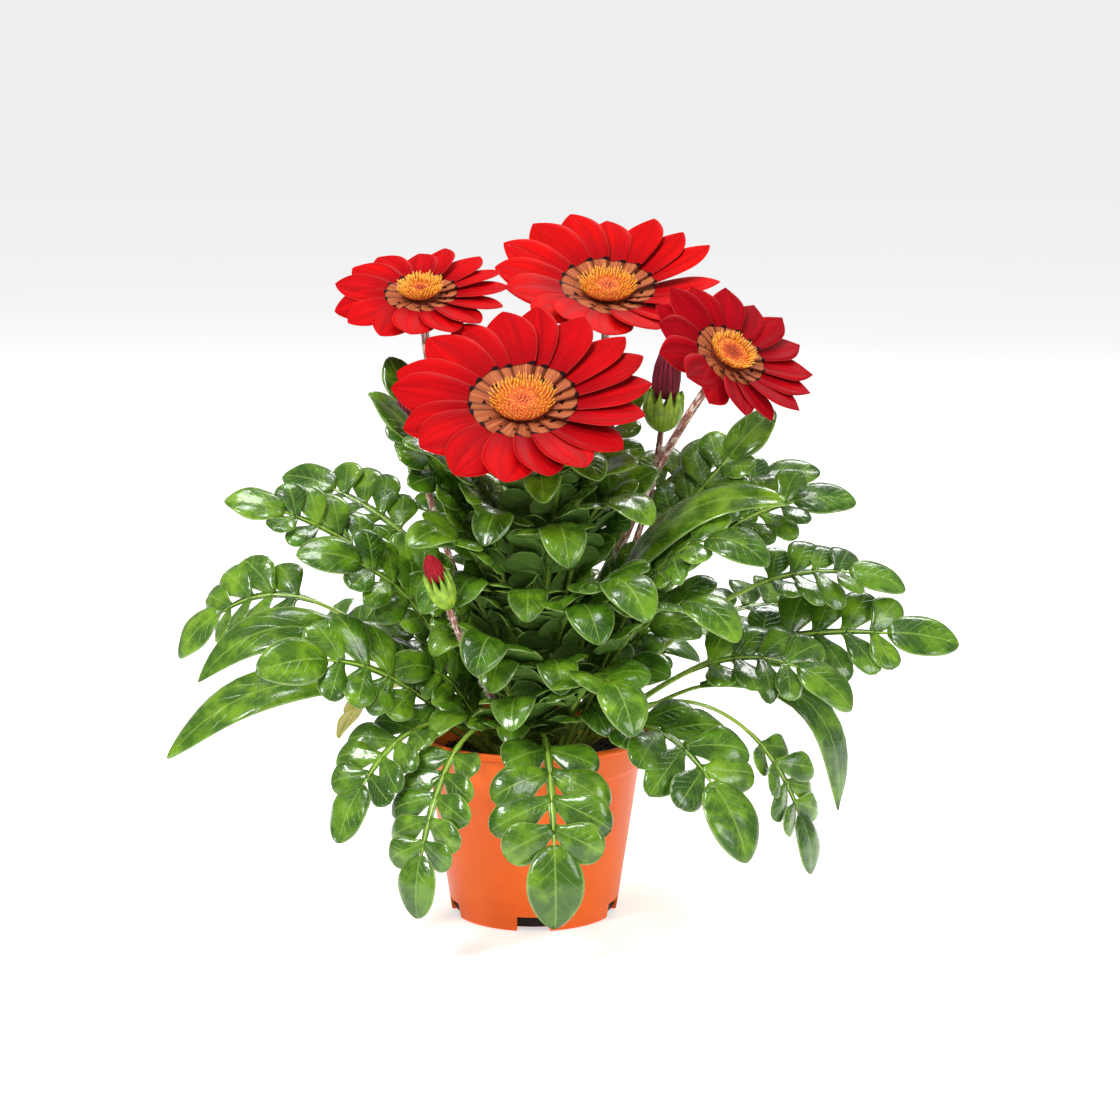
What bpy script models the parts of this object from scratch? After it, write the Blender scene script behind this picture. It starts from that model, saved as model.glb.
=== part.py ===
"""A potted gazania: nursery pot, soil, lobed leaves, four open blooms and three buds.

Units are metres, +Z is up, and the origin is the middle of the pot's base on the surface it stands on.
The side that faces -Y is the front.
"""

import math

import bpy
import numpy as np
from mathutils import Matrix, Vector
from mathutils.bvhtree import BVHTree

MM = 0.001
GAP = 0.3 * MM

# Driving sizes of the pot, its soil and the plant.
POT_HEIGHT = 85 * MM
RIM_RADIUS = 55 * MM
COLLAR_HEIGHT = 14 * MM
COLLAR_FOOT_RADIUS = 49.5 * MM
BODY_TOP_RADIUS = 48.2 * MM
FOOT_RADIUS = 38.0 * MM
WALL = 1.3 * MM
FLOOR_TOP = 1.6 * MM
POT_SIDES = 24
NOTCH_COUNT = 5
NOTCH_HEIGHT = 7.0 * MM
NOTCH_WIDTH = 14.5 * MM
SOIL_TOP = 73 * MM
SOIL_MOUND = 1.5 * MM
ROOT_DEPTH = 3.5 * MM
CROWN_RADIUS = 8 * MM
CROWN_HEIGHT = 3 * MM
CROWN_SIDES = 10
HOLE_DEPTH = 4.5 * MM
HOLE_PLAY = 0.8 * MM

LEAF_THICKNESS = 0.8 * MM
PETIOLE_THICKNESS = 1.9 * MM
PETIOLE_HALF_WIDTH = 1.35 * MM
RIB_HALF_WIDTH = 0.9 * MM
LOBE_ANGLE = math.radians(62)
LOBE_SHARE = 0.47
LOBE_STEP = 0.62
TERMINAL_SHARE = 1.3
# Outlines hold (share of the length, share of the half width) pairs, from one edge over the tip to the other.
LOBE_OUTLINE = ((0.48, 0.85), (0.92, 0.72), (0.98, -0.5), (0.56, -0.97))
TERMINAL_OUTLINE = ((0.42, 0.92), (0.78, 0.78), (1, 0), (0.78, -0.78), (0.42, -0.92))
TERMINAL_HALF_SHARE = 0.43
PLAIN_OUTLINE = ((0.22, 0.45), (0.45, 0.85), (0.68, 1), (0.87, 0.66))
PLAIN_HALF_SHARE = 0.62
PLAIN_LENGTH_SHARE = 0.62
MOST_BLADE = 0.8
# Degrees by which lobes rise from the rib, with their spread, and the sag of what lies far from it.
LOBE_LIFT = 9
LOBE_LIFT_SPREAD = 11
BLADE_LIFT = 6
SAG_FROM = 0.6
SAG = 0.9
SPINE_HANDLE = 0.42
HANG_HANDLE = 0.2
STRAIGHT_ABOVE_SOIL = 4 * MM
LONG_PETIOLE = 45 * MM

PETAL_THICKNESS = 0.8 * MM
PETAL_OUTLINE = ((0, 0.2), (0.32, 0.76), (0.62, 1.0), (0.87, 0.66))
PETAL_CURL = 2.2
LAYER_LIFT = 3.5
LAYER_RAISE = 0.5 * MM
STALK_RADIUS = 2.1 * MM
BUD_STALK_RADIUS = 1.6 * MM
STALK_SIDES = 6
STALK_SECTIONS = 6

# Each leaf: azimuth, reach and tip height in mm, launch and landing slope, pairs of lobes, lobe length in mm,
# roll, and root radius in mm. Angles are in degrees, azimuth 0 is +X and -90 the front.
# No pairs makes a plain blade.
LEAVES = (
    (-170, 168, 80, 38, -42, 0, 20, -35, 21),
    (-149, 137, 126, 42, -12, 4, 26, -52, 21),
    (-178, 152, 107, 46, -50, 0, 19, -45, 21),
    (172, 166, 112, 50, -55, 3, 23, -42, 21),
    (146, 158, 96, 44, -40, 3, 25, -20, 21),
    (-174, 137, 193, 58, 12, 4, 21, -40, 5),
    (157, 128, 195, 70, 10, 3, 22, -40, 5),
    (-158, 76, 241, 80, 45, 3, 25, -35, 5),
    (-162, 108, 172, 58, 5, 3, 23, -45, 16),
    (154, 74, 250, 78, 60, 3, 20, -35, 5),
    (150, 108, 66, 46, -60, 3, 20, 0, 21),
    (-138, 112, 52, 54, -66, 3, 21, -15, 21),
    (-118, 106, 24, 64, -84, 4, 21, 0, 21),
    (-84, 96, 20, 66, -92, 3, 28, 0, 21),
    (-44, 128, 48, 46, -62, 3, 29, 12, 21),
    (-24, 134, 32, 54, -82, 3, 21, 10, 21),
    (-2, 146, 46, 40, -84, 0, 16, 15, 21),
    (2, 194, 122, 40, -12, 4, 26, 42, 16),
    (6, 172, 146, 50, -22, 3, 22, 35, 16),
    (0, 145, 190, 58, -4, 3, 22, 38, 16),
    (13, 135, 200, 62, 8, 3, 21, 35, 5),
    (9, 110, 228, 67, 46, 3, 23, 38, 5),
    (-20, 118, 198, 62, -4, 0, 24, 30, 5),
    (44, 68, 238, 76, 40, 3, 21, 20, 5),
    (-58, 92, 150, 70, -48, 3, 26, 10, 5),
    (-38, 112, 140, 62, -44, 3, 26, 14, 16),
    (-31, 118, 172, 64, -30, 3, 25, 24, 16),
    (-106, 86, 128, 66, -52, 3, 23, -20, 21),
    (-128, 84, 180, 70, -20, 3, 22, -22, 5),
    (-76, 66, 172, 78, -52, 3, 23, 4, 5),
    (-48, 76, 188, 76, -36, 3, 23, 10, 5),
    (-66, 104, 104, 58, -60, 3, 24, 6, 21),
    (-14, 146, 102, 46, -44, 3, 24, 30, 21),
    (30, 166, 118, 42, -26, 3, 26, 20, 21),
    (48, 150, 90, 44, -48, 3, 23, 0, 21),
    (68, 140, 124, 44, -26, 3, 26, 0, 21),
    (84, 158, 100, 42, -38, 3, 27, 0, 21),
    (104, 130, 150, 54, -14, 3, 23, 0, 16),
    (122, 152, 106, 44, -34, 3, 27, 0, 21),
    (84, 72, 228, 78, 45, 3, 23, 0, 5),
    (112, 66, 236, 78, 50, 3, 22, 0, 5),
    (123, 99, 216, 70, 46, 3, 22, -10, 5),
    (-97, 78, 104, 62, -44, 3, 22, 8, 21),
    (-132, 72, 150, 70, -44, 3, 22, -14, 5),
    (-70, 84, 140, 68, -50, 3, 23, 8, 5),
    (-140, 70, 224, 78, 25, 3, 22, -30, 5),
    (62, 62, 238, 78, 55, 3, 22, 10, 5),
    (-34, 54, 212, 80, 15, 3, 22, 25, 5),
    (35, 111, 208, 72, 20, 3, 22, 30, 5),
    (165, 51, 206, 80, 25, 3, 22, -30, 5),
    (-56, 78, 112, 64, -46, 3, 22, 12, 16),
)

# Each bloom: centre in mm, facing direction, radius in mm, petal count, lift and tip droop in degrees,
# azimuth where its stalk leaves the soil, and the root's distance from the middle in mm.
BLOOMS = (
    ((-4, -30, 235), (-0.03, -0.57, 0.82), 59, 18, 14, 3, -100, 12),
    ((34, 60, 277), (0.03, -0.48, 0.88), 55, 16, 19, 3, 60, 12),
    ((-51, 30, 278), (-0.05, -0.44, 0.89), 41, 15, 10, 7, 150, 12),
    ((85, -20, 255), (0.42, -0.56, 0.71), 41, 16, 14, 4, -15, 12),
)
# Shares of a bloom's radius: the disc, the ring that joins the petals, and the cup's radius and length.
DISC_SHARE = 0.227
THROAT_SHARE = 0.2
CUP_RADIUS_SHARE = 0.25
CUP_LENGTH_SHARE = 0.2
THROAT_SIDES = 10
THROAT_TOP = 1.1 * MM
THROAT_BOTTOM = -1.2 * MM
DISC_SIDES = 12
# Rings of standing florets: place as a share of the disc's radius, count, height in mm and outward lean.
FLORET_RINGS = ((0.92, 13, 4.2, 0.5), (0.64, 6, 3.4, 0.12))
FLORET_RADIUS = 1.0 * MM

# Each bud: tip in mm, facing direction, petal cone length and widest radius in mm, cup length in mm,
# stalk azimuth, and root distance in mm.
BUDS = (
    ((-44, -66, 176), (-0.3, -0.3, 0.9), 12, 4.6, 15, -128, 15),
    ((62, 26, 258), (0.1, 0.0, 1.0), 26, 7.0, 15, 22, 13),
    ((-59, 6, 243), (-0.2, -0.1, 0.97), 18, 4.5, 11, 172, 12),
)


def jitter(i, j):
    """A fixed pseudo-random number from -1 to 1 for a pair of counters."""
    return 2 * ((math.sin(i * 12.9898 + j * 78.233) * 43758.5453) % 1) - 1


def clear_scene():
    for obj in list(bpy.data.objects):
        bpy.data.objects.remove(obj)


def material(name, colour, roughness):
    """A plain Principled material; colour is linear RGB."""
    made = bpy.data.materials.new(name)
    made.use_nodes = True
    shader = made.node_tree.nodes["Principled BSDF"]
    shader.inputs["Base Color"].default_value = (*colour, 1)
    shader.inputs["Roughness"].default_value = roughness
    shader.inputs["Metallic"].default_value = 0
    return made


def mesh_object(name, points, faces, finish, smooth=False):
    mesh = bpy.data.meshes.new(name)
    mesh.from_pydata([tuple(p) for p in points], [], faces)
    mesh.validate()
    mesh.materials.append(finish)
    if smooth:
        mesh.shade_smooth()
        mesh.set_sharp_from_angle(angle=math.radians(40))
    obj = bpy.data.objects.new(name, mesh)
    bpy.context.scene.collection.objects.link(obj)
    return obj


def turned(profile, sides, lumps=None):
    """A closed solid turned about Z from (radius, height) points that run from the axis round to the axis."""
    points = [Vector((0, 0, profile[0][1]))]
    rings = profile[1:-1]
    for radius, height in rings:
        for k in range(sides):
            angle = 2 * math.pi * k / sides
            grown = radius * (1 + (lumps(angle, height) if lumps else 0))
            points.append(Vector((grown * math.cos(angle), grown * math.sin(angle), height)))
    points.append(Vector((0, 0, profile[-1][1])))
    last = len(points) - 1
    faces = []
    for k in range(sides):
        after = (k + 1) % sides
        faces.append((0, 1 + after, 1 + k))
        for r in range(len(rings) - 1):
            low, high = 1 + r * sides, 1 + (r + 1) * sides
            faces.append((low + k, low + after, high + after))
            faces.append((low + k, high + after, high + k))
        top = 1 + (len(rings) - 1) * sides
        faces.append((top + k, top + after, last))
    return points, faces


def thick_sheet(top, bottom, triangles):
    """A closed solid between two sheets with the same triangles, counter-clockwise from the top."""
    count = len(top)
    faces = [tuple(t) for t in triangles]
    faces += [tuple(v + count for v in reversed(t)) for t in triangles]
    edges = {(t[k], t[(k + 1) % 3]) for t in triangles for k in range(3)}
    for a, b in sorted(edges):
        if (b, a) not in edges:
            faces.append((b, a, a + count))
            faces.append((b, a + count, b + count))
    return list(top) + list(bottom), faces


def tube(path, radii, sides, arrive):
    """A closed tube through path, one radius for each point; its last ring faces along arrive."""
    points, faces = [], []
    side = Vector((0, 0, 1)).cross(path[-1] - path[0])
    side = side.normalized() if side.length > 1e-6 else Vector((1, 0, 0))
    for k, (centre, radius) in enumerate(zip(path, radii)):
        ahead = arrive if k == len(path) - 1 else (path[k + 1] - path[max(k - 1, 0)]).normalized()
        across = (side - ahead * side.dot(ahead)).normalized()
        up = ahead.cross(across)
        for j in range(sides):
            angle = 2 * math.pi * j / sides
            points.append(centre + (across * math.cos(angle) + up * math.sin(angle)) * radius)
    for k in range(len(path) - 1):
        for j in range(sides):
            a, b = k * sides + j, k * sides + (j + 1) % sides
            faces.append((a, b, b + sides))
            faces.append((a, b + sides, a + sides))
    end = (len(path) - 1) * sides
    faces.append(tuple(reversed(range(sides))))
    faces.append(tuple(range(end, end + sides)))
    return points, faces


def united(obj, others):
    """Joins others into obj with one Boolean union and removes them."""
    if not others:
        return obj
    group = bpy.data.collections.new(obj.name + "_union")
    bpy.context.scene.collection.children.link(group)
    for other in others:
        bpy.context.scene.collection.objects.unlink(other)
        group.objects.link(other)
    union = obj.modifiers.new("union", "BOOLEAN")
    union.operation = "UNION"
    union.operand_type = "COLLECTION"
    union.collection = group
    union.solver = "MANIFOLD"
    bake(obj)
    for other in others:
        bpy.data.objects.remove(other)
    bpy.data.collections.remove(group)
    return obj


def bake(obj):
    """Replaces an object's mesh by what its modifiers make of it."""
    bpy.context.view_layer.update()
    graph = bpy.context.evaluated_depsgraph_get()
    made = bpy.data.meshes.new_from_object(obj.evaluated_get(graph))
    obj.modifiers.clear()
    obj.data = made


def bezier(start, a, b, end, t):
    u = 1 - t
    return start * u**3 + a * (3 * u * u * t) + b * (3 * u * t * t) + end * t**3


def curve_points(start, leave, end, arrive, count):
    """Points along a cubic from start to end, which leaves and arrives along unit directions.

    One that ends hanging down arches higher on its way.
    """
    reach = (end - start).length * (SPINE_HANDLE + HANG_HANDLE * max(-arrive.z, 0) ** 4)
    a, b = start + leave * reach, end - arrive * reach
    return [bezier(start, a, b, end, k / (count - 1)) for k in range(count)]


def slanted(azimuth, slope):
    """The unit direction of an azimuth and a slope above the horizon."""
    return Vector((math.cos(slope) * math.cos(azimuth), math.cos(slope) * math.sin(azimuth), math.sin(slope)))


class Spine:
    """A leaf's rib: places by arc length, each with its side and upper directions."""

    FINENESS = 60

    def __init__(self, row):
        azimuth, reach, tip, launch, landing, _, _, roll, root = row
        azimuth = math.radians(azimuth)
        leave = slanted(azimuth, math.radians(launch))
        out = Vector((math.cos(azimuth), math.sin(azimuth), 0))
        start = out * (root * MM) + Vector((0, 0, SOIL_TOP)) - leave * ROOT_DEPTH
        end = out * (reach * MM) + Vector((0, 0, tip * MM))
        arrive = slanted(azimuth, math.radians(landing))
        self.points = curve_points(start, leave, end, arrive, self.FINENESS)
        steps = [(b - a).length for a, b in zip(self.points, self.points[1:])]
        self.lengths = np.concatenate([[0], np.cumsum(steps)])
        self.length = float(self.lengths[-1])
        self.roll = math.radians(roll)
        self.roll_by = 0.45 * self.length
        self.side = Vector((math.sin(azimuth), -math.cos(azimuth), 0))

    def frame(self, s):
        """(point, side, upper direction) at arc length s; it runs straight on past the ends."""
        inside = min(max(s, 0.0), self.length)
        k = min(int(np.searchsorted(self.lengths, inside, "right")) - 1, self.FINENESS - 2)
        a, b = self.points[k], self.points[k + 1]
        along = (b - a).normalized()
        point = a + along * (s - float(self.lengths[k]))
        share = min(inside / self.roll_by, 1.0)
        turn = self.roll * share * share * (3 - 2 * share)
        upper = self.side.cross(along)
        side = self.side * math.cos(turn) - upper * math.sin(turn)
        upper = upper * math.cos(turn) + self.side * math.sin(turn)
        return point, side, upper


def lobe_scale(i, pairs):
    """How long the i-th pair of lobes from the stalk is, as a share of the longest."""
    return 0.55 + 0.45 * math.sin(math.pi * (i + 0.9) / (pairs + 0.8))


def leaf_card(length, pairs, lobe):
    """The leaf laid flat: rows of (along, across, half thickness, lobe number), and triangles."""
    blade = lobe * (TERMINAL_SHARE + LOBE_STEP * pairs) if pairs else PLAIN_LENGTH_SHARE * length
    blade = min(blade, MOST_BLADE * length)
    start = length - blade
    rows, triangles = [], []
    straight = ROOT_DEPTH + STRAIGHT_ABOVE_SOIL
    middle = [(straight + start) / 2] if start - straight > LONG_PETIOLE else []
    for s in (0, straight, *middle, start):
        half = PETIOLE_HALF_WIDTH * (1 - 0.15 * s / start)
        thick = PETIOLE_THICKNESS / 2 * (1 - 0.3 * s / start)
        rows += [(s, -half, thick, 0), (s, half, thick, 0)]
    for k in range(len(rows) // 2 - 1):
        triangles += [(2 * k, 2 * k + 1, 2 * k + 3), (2 * k, 2 * k + 3, 2 * k + 2)]
    if pairs:
        lobed_blade(rows, triangles, start, length, pairs, lobe)
    else:
        plain_blade(rows, triangles, start, length, lobe)
    return rows, triangles


def lobed_blade(rows, triangles, start, length, pairs, lobe):
    half = LEAF_THICKNESS / 2
    terminal = TERMINAL_SHARE * lobe
    step = (length - terminal - start) / pairs
    width = LOBE_SHARE * step * math.sin(LOBE_ANGLE)
    left, right = len(rows) - 2, len(rows) - 1
    for i in range(pairs):
        rib = RIB_HALF_WIDTH * (1 - 0.3 * i / pairs)
        end = start + (i + 1) * step
        rows += [(end, -rib, half * 1.3, 0), (end, rib, half * 1.3, 0)]
        next_left, next_right = len(rows) - 2, len(rows) - 1
        triangles += [(left, right, next_right), (left, next_right, next_left)]
        reach = lobe * lobe_scale(i, pairs)
        for sign, low, high in ((1, right, next_right), (-1, left, next_left)):
            first = len(rows)
            for along, across in LOBE_OUTLINE:
                ahead, over = along * reach, across * width
                s = end - step / 2 + ahead * math.cos(LOBE_ANGLE) - over * math.sin(LOBE_ANGLE)
                w = rib + ahead * math.sin(LOBE_ANGLE) + over * math.cos(LOBE_ANGLE)
                rows.append((s, sign * w, half, sign * (i + 1)))
            a, b, c, d = range(first, first + 4)
            fan = [(low, a, high), (a, d, high), (a, b, d), (b, c, d)]
            triangles += fan if sign > 0 else [tuple(reversed(t)) for t in fan]
        left, right = next_left, next_right
    first = len(rows)
    for along, across in TERMINAL_OUTLINE:
        rows.append((length - terminal * (1 - along), across * TERMINAL_HALF_SHARE * lobe, half, 0))
    a, b, tip, c, d = range(first, first + 5)
    triangles += [(left, right, a), (left, a, d), (d, a, b), (d, b, c), (c, b, tip)]


def plain_blade(rows, triangles, start, length, lobe):
    half = LEAF_THICKNESS / 2
    left, right = len(rows) - 2, len(rows) - 1
    for along, across in PLAIN_OUTLINE:
        s = start + along * (length - start)
        w = across * lobe * PLAIN_HALF_SHARE
        rows += [(s, -w, half, 0), (s, w, half, 0)]
        next_left, next_right = len(rows) - 2, len(rows) - 1
        triangles += [(left, right, next_right), (left, next_right, next_left)]
        left, right = next_left, next_right
    rows.append((length, 0, half, 0))
    triangles.append((left, right, len(rows) - 1))


def leaf_solid(number, row):
    """Points and faces of one leaf, its lobes raised and dropped by small fixed amounts."""
    pairs, lobe = row[5], row[6] * MM
    spine = Spine(row)
    rows, triangles = leaf_card(spine.length, pairs, lobe)
    top, bottom = [], []
    for s, w, half, which in rows:
        point, side, upper = spine.frame(s)
        lift = math.radians(LOBE_LIFT + LOBE_LIFT_SPREAD * jitter(number, which) if which else BLADE_LIFT)
        sag = SAG * max(abs(w) - SAG_FROM * lobe, 0) ** 2 / lobe
        middle = point + side * (w * math.cos(lift)) + upper * (abs(w) * math.sin(lift) - sag)
        top.append(middle + upper * half)
        bottom.append(middle - upper * half)
    return thick_sheet(top, bottom, triangles)


def crossing_groups(solids):
    """Lists of the numbers of leaves that cross each other, each list a body of its own."""
    trees = [BVHTree.FromPolygons([tuple(p) for p in points], faces) for points, faces in solids]
    group = list(range(len(solids)))
    for i, tree in enumerate(trees):
        for j in range(i + 1, len(trees)):
            if group[i] != group[j] and tree.overlap(trees[j]):
                old, new = max(group[i], group[j]), min(group[i], group[j])
                group = [new if g == old else g for g in group]
    return [[i for i, g in enumerate(group) if g == first] for first in sorted(set(group))]


def crown_solid():
    """The short rootstock that the inner leaves grow from."""
    low, high = SOIL_TOP - ROOT_DEPTH, SOIL_TOP + CROWN_HEIGHT
    shoulder = (0.55 * CROWN_RADIUS, high)
    profile = [(0, low), (0.9 * CROWN_RADIUS, low), (CROWN_RADIUS, SOIL_TOP), shoulder, (0, high)]
    return turned(profile, CROWN_SIDES)


def make_leaves(finish):
    """The crown with the leaves that grow from it, and each outer leaf, or the few that cross, as a node."""
    solids = [crown_solid()] + [leaf_solid(number, row) for number, row in enumerate(LEAVES, 1)]
    for members in crossing_groups(solids):
        kind = "leaf" if len(members) == 1 else "leaves"
        names = [f"{kind}_{n:02d}" if n else "crown_leaves" for n in members]
        objects = [mesh_object(name, *solids[n], finish) for name, n in zip(names, members)]
        united(objects[0], objects[1:])


def make_pot(finish):
    """The pot with its collar, flat floor and drainage notches through the foot of its wall."""
    def inner(radius):
        return radius - WALL

    collar_foot = POT_HEIGHT - COLLAR_HEIGHT
    profile = [
        (0, 0),
        (FOOT_RADIUS, 0),
        (FOOT_RADIUS + 1.6 * MM, 12 * MM),
        (BODY_TOP_RADIUS, collar_foot - 2 * MM),
        (COLLAR_FOOT_RADIUS, collar_foot - 0.5 * MM),
        (COLLAR_FOOT_RADIUS + 3 * MM, POT_HEIGHT - 3 * MM),
        (RIM_RADIUS, POT_HEIGHT - 1.6 * MM),
        (RIM_RADIUS - 0.4 * MM, POT_HEIGHT),
        (RIM_RADIUS - 2 * MM, POT_HEIGHT),
        (inner(COLLAR_FOOT_RADIUS + 3 * MM), POT_HEIGHT - 3 * MM),
        (inner(COLLAR_FOOT_RADIUS), collar_foot),
        (inner(BODY_TOP_RADIUS), collar_foot - 2.5 * MM),
        (inner(FOOT_RADIUS + 1.6 * MM), 12 * MM),
        (inner(FOOT_RADIUS), FLOOR_TOP),
        (0, FLOOR_TOP),
    ]
    pot = mesh_object("pot", *turned(profile, POT_SIDES), finish, smooth=True)
    cutters = bpy.data.collections.new("notch_cutters")
    bpy.context.scene.collection.children.link(cutters)
    for k in range(NOTCH_COUNT):
        angle = -math.pi / 2 + 2 * math.pi * k / NOTCH_COUNT
        cutter = box_object(f"notch_cutter_{k + 1}", (16 * MM, NOTCH_WIDTH, 2 * NOTCH_HEIGHT), finish)
        cutter.location = (FOOT_RADIUS * math.cos(angle), FOOT_RADIUS * math.sin(angle), 0)
        cutter.rotation_euler = (0, 0, angle)
        bpy.context.scene.collection.objects.unlink(cutter)
        cutters.objects.link(cutter)
    cut = pot.modifiers.new("notches", "BOOLEAN")
    cut.operation = "DIFFERENCE"
    cut.operand_type = "COLLECTION"
    cut.collection = cutters
    return pot


def box_object(name, size, finish):
    """A box centred on its origin, kept out of the model as a cutter."""
    x, y, z = (side / 2 for side in size)
    points = [(i, j, k) for k in (-z, z) for j in (-y, y) for i in (-x, x)]
    faces = [(0, 2, 3, 1), (4, 5, 7, 6), (0, 1, 5, 4), (2, 6, 7, 3), (0, 4, 6, 2), (1, 3, 7, 5)]
    cutter = mesh_object(name, points, faces, finish)
    cutter.hide_render = True
    cutter.display_type = "WIRE"
    return cutter


def make_soil(finish, roots):
    """The soil with a plain hole for the crown and for each (point, direction, half sizes) in roots."""
    body = inner_radius_at(SOIL_TOP) - GAP
    profile = [
        (0, FLOOR_TOP + GAP),
        (FOOT_RADIUS - WALL - GAP, FLOOR_TOP + GAP),
        (inner_radius_at(12 * MM) - GAP, 12 * MM),
        (inner_radius_at(68 * MM) - GAP, 67.5 * MM),
        (body - 1.2 * MM, SOIL_TOP - 1.2 * MM),
        (body * 0.62, SOIL_TOP - 0.4 * SOIL_MOUND),
        (0, SOIL_TOP),
    ]
    soil = mesh_object("soil", *turned(profile, POT_SIDES), finish)
    cutters = bpy.data.collections.new("root_cutters")
    bpy.context.scene.collection.children.link(cutters)
    for number, (point, direction, halves) in enumerate(roots, 1):
        size = (2 * halves[0], 2 * halves[1], 2 * HOLE_DEPTH)
        cutter = box_object(f"root_cutter_{number}", size, finish)
        cutter.matrix_world = Matrix.Translation(point) @ facing(direction)
        bpy.context.scene.collection.objects.unlink(cutter)
        cutters.objects.link(cutter)
    well = [(0, SOIL_TOP - HOLE_DEPTH), (CROWN_RADIUS + 2 * GAP, SOIL_TOP - HOLE_DEPTH)]
    well += [(CROWN_RADIUS + 2 * GAP, SOIL_TOP + HOLE_DEPTH), (0, SOIL_TOP + HOLE_DEPTH)]
    cutter = mesh_object("crown_cutter", *turned(well, CROWN_SIDES), finish)
    cutter.hide_render = True
    cutter.display_type = "WIRE"
    bpy.context.scene.collection.objects.unlink(cutter)
    cutters.objects.link(cutter)
    cut = soil.modifiers.new("holes", "BOOLEAN")
    cut.operation = "DIFFERENCE"
    cut.operand_type = "COLLECTION"
    cut.collection = cutters
    return soil


def inner_radius_at(height):
    """The pot's inner radius below its collar."""
    low, high = 12 * MM, POT_HEIGHT - COLLAR_HEIGHT - 2.5 * MM
    share = min((height - low) / (high - low), 1)
    return FOOT_RADIUS + 1.6 * MM + (BODY_TOP_RADIUS - FOOT_RADIUS - 1.6 * MM) * share - WALL


def facing(direction):
    """A rotation that turns +Z to direction and keeps +X level."""
    up = Vector(direction).normalized()
    across = Vector((0, 1, 0)).cross(up).normalized()
    return Matrix((across, up.cross(across), up)).transposed().to_4x4()


def petal_solid(radius, turn, lift, droop, raised, length, width):
    """One ray petal, from inside the throat ring out to its pointed tip."""
    root = THROAT_SHARE * radius * 0.9
    reach = length - root
    rows, triangles = [], []
    for along, across in PETAL_OUTLINE:
        half = across * width / 2
        rows += [(along, -half), (along, half)]
    for k in range(0, len(rows) - 2, 2):
        triangles += [(k, k + 1, k + 3), (k, k + 3, k + 2)]
    rows.append((1, 0))
    triangles.append((len(rows) - 3, len(rows) - 2, len(rows) - 1))
    out = Vector((math.cos(turn), math.sin(turn), 0))
    side = Vector((math.sin(turn), -math.cos(turn), 0))
    top, bottom = [], []
    for along, across in rows:
        r = root + reach * along * math.cos(lift)
        height = reach * (along * math.sin(lift) - along**PETAL_CURL * math.sin(droop)) + raised
        middle = out * r + side * across + Vector((0, 0, height))
        top.append(middle + Vector((0, 0, PETAL_THICKNESS / 2)))
        bottom.append(middle - Vector((0, 0, PETAL_THICKNESS / 2)))
    return thick_sheet(top, bottom, triangles)


def make_bloom(number, row, finishes):
    """Petals on their throat ring, the disc of florets, the cup of bracts and the stalk of one bloom."""
    centre, direction, radius, count, lift, droop, azimuth, root = row
    radius *= MM
    place = Matrix.Translation(Vector(centre) * MM) @ facing(direction)
    throat = THROAT_SHARE * radius
    ring = [(0, THROAT_BOTTOM), (throat, THROAT_BOTTOM), (throat * 1.1, 0)]
    ring += [(throat, THROAT_TOP), (0, THROAT_TOP)]
    petals = mesh_object(f"petals_{number}", *turned(ring, THROAT_SIDES), finishes["petal"])
    rays = []
    for k in range(count):
        turn = 2 * math.pi * (k + 0.18 * jitter(number, k)) / count
        solid = petal_solid(
            radius,
            turn,
            math.radians(lift + LAYER_LIFT * (1 if k % 2 else -1) + 1.5 * jitter(number + 10, k)),
            math.radians(droop + 3 * jitter(number + 20, k)),
            LAYER_RAISE if k % 2 else -LAYER_RAISE,
            radius * (1 - 0.06 * abs(jitter(number + 30, k))),
            2 * math.pi * radius / count * (0.96 + 0.08 * jitter(number + 40, k)),
        )
        rays.append(mesh_object(f"ray_{number}_{k}", *solid, finishes["petal"]))
    united(petals, rays).matrix_world = place
    make_disc(number, radius, place, finishes["disc"])
    cup_length = CUP_LENGTH_SHARE * radius
    cup_top = THROAT_BOTTOM - GAP
    make_cup(f"cup_{number}", CUP_RADIUS_SHARE * radius, cup_length, cup_top, place, finishes["cup"])
    axis = Vector(direction).normalized()
    top = Vector(centre) * MM + axis * (cup_top - cup_length - GAP)
    return make_stalk(f"stalk_{number}", top, axis, azimuth, root, STALK_RADIUS, finishes["stalk"])


def make_disc(number, radius, place, finish):
    """A domed disc with standing florets in two rings round a finer middle."""
    outer = DISC_SHARE * radius
    base = THROAT_TOP + GAP
    inner_ring = THROAT_SHARE * radius
    dome = [(0, base), (inner_ring * 0.72, base), (outer, base + 2.4 * MM), (outer * 0.8, base + 3.4 * MM)]
    dome.append((0, base + 3 * MM))
    disc = mesh_object(f"disc_{number}", *turned(dome, DISC_SIDES), finish)
    florets = []
    for ring, (share, count, tall, lean) in enumerate(FLORET_RINGS):
        for k in range(count):
            turn = 2 * math.pi * (k + 0.5 * ring + 0.2 * jitter(k, number + ring)) / count
            out = Vector((math.cos(turn), math.sin(turn), 0))
            foot = out * (outer * share) + Vector((0, 0, base + 2.2 * MM))
            tip = foot + (out * lean + Vector((0, 0, 1))) * tall * MM
            solid = spike(foot, tip, FLORET_RADIUS)
            florets.append(mesh_object(f"floret_{number}_{ring}_{k}", *solid, finish))
    united(disc, florets).matrix_world = place


def spike(foot, tip, width):
    """A three-sided spike."""
    ahead = (tip - foot).normalized()
    across = ahead.orthogonal().normalized()
    up = ahead.cross(across)
    turns = [2 * math.pi * k / 3 for k in range(3)]
    points = [foot + (across * math.cos(t) + up * math.sin(t)) * width for t in turns] + [tip]
    return points, [(2, 1, 0), (0, 1, 3), (1, 2, 3), (2, 0, 3)]


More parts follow.
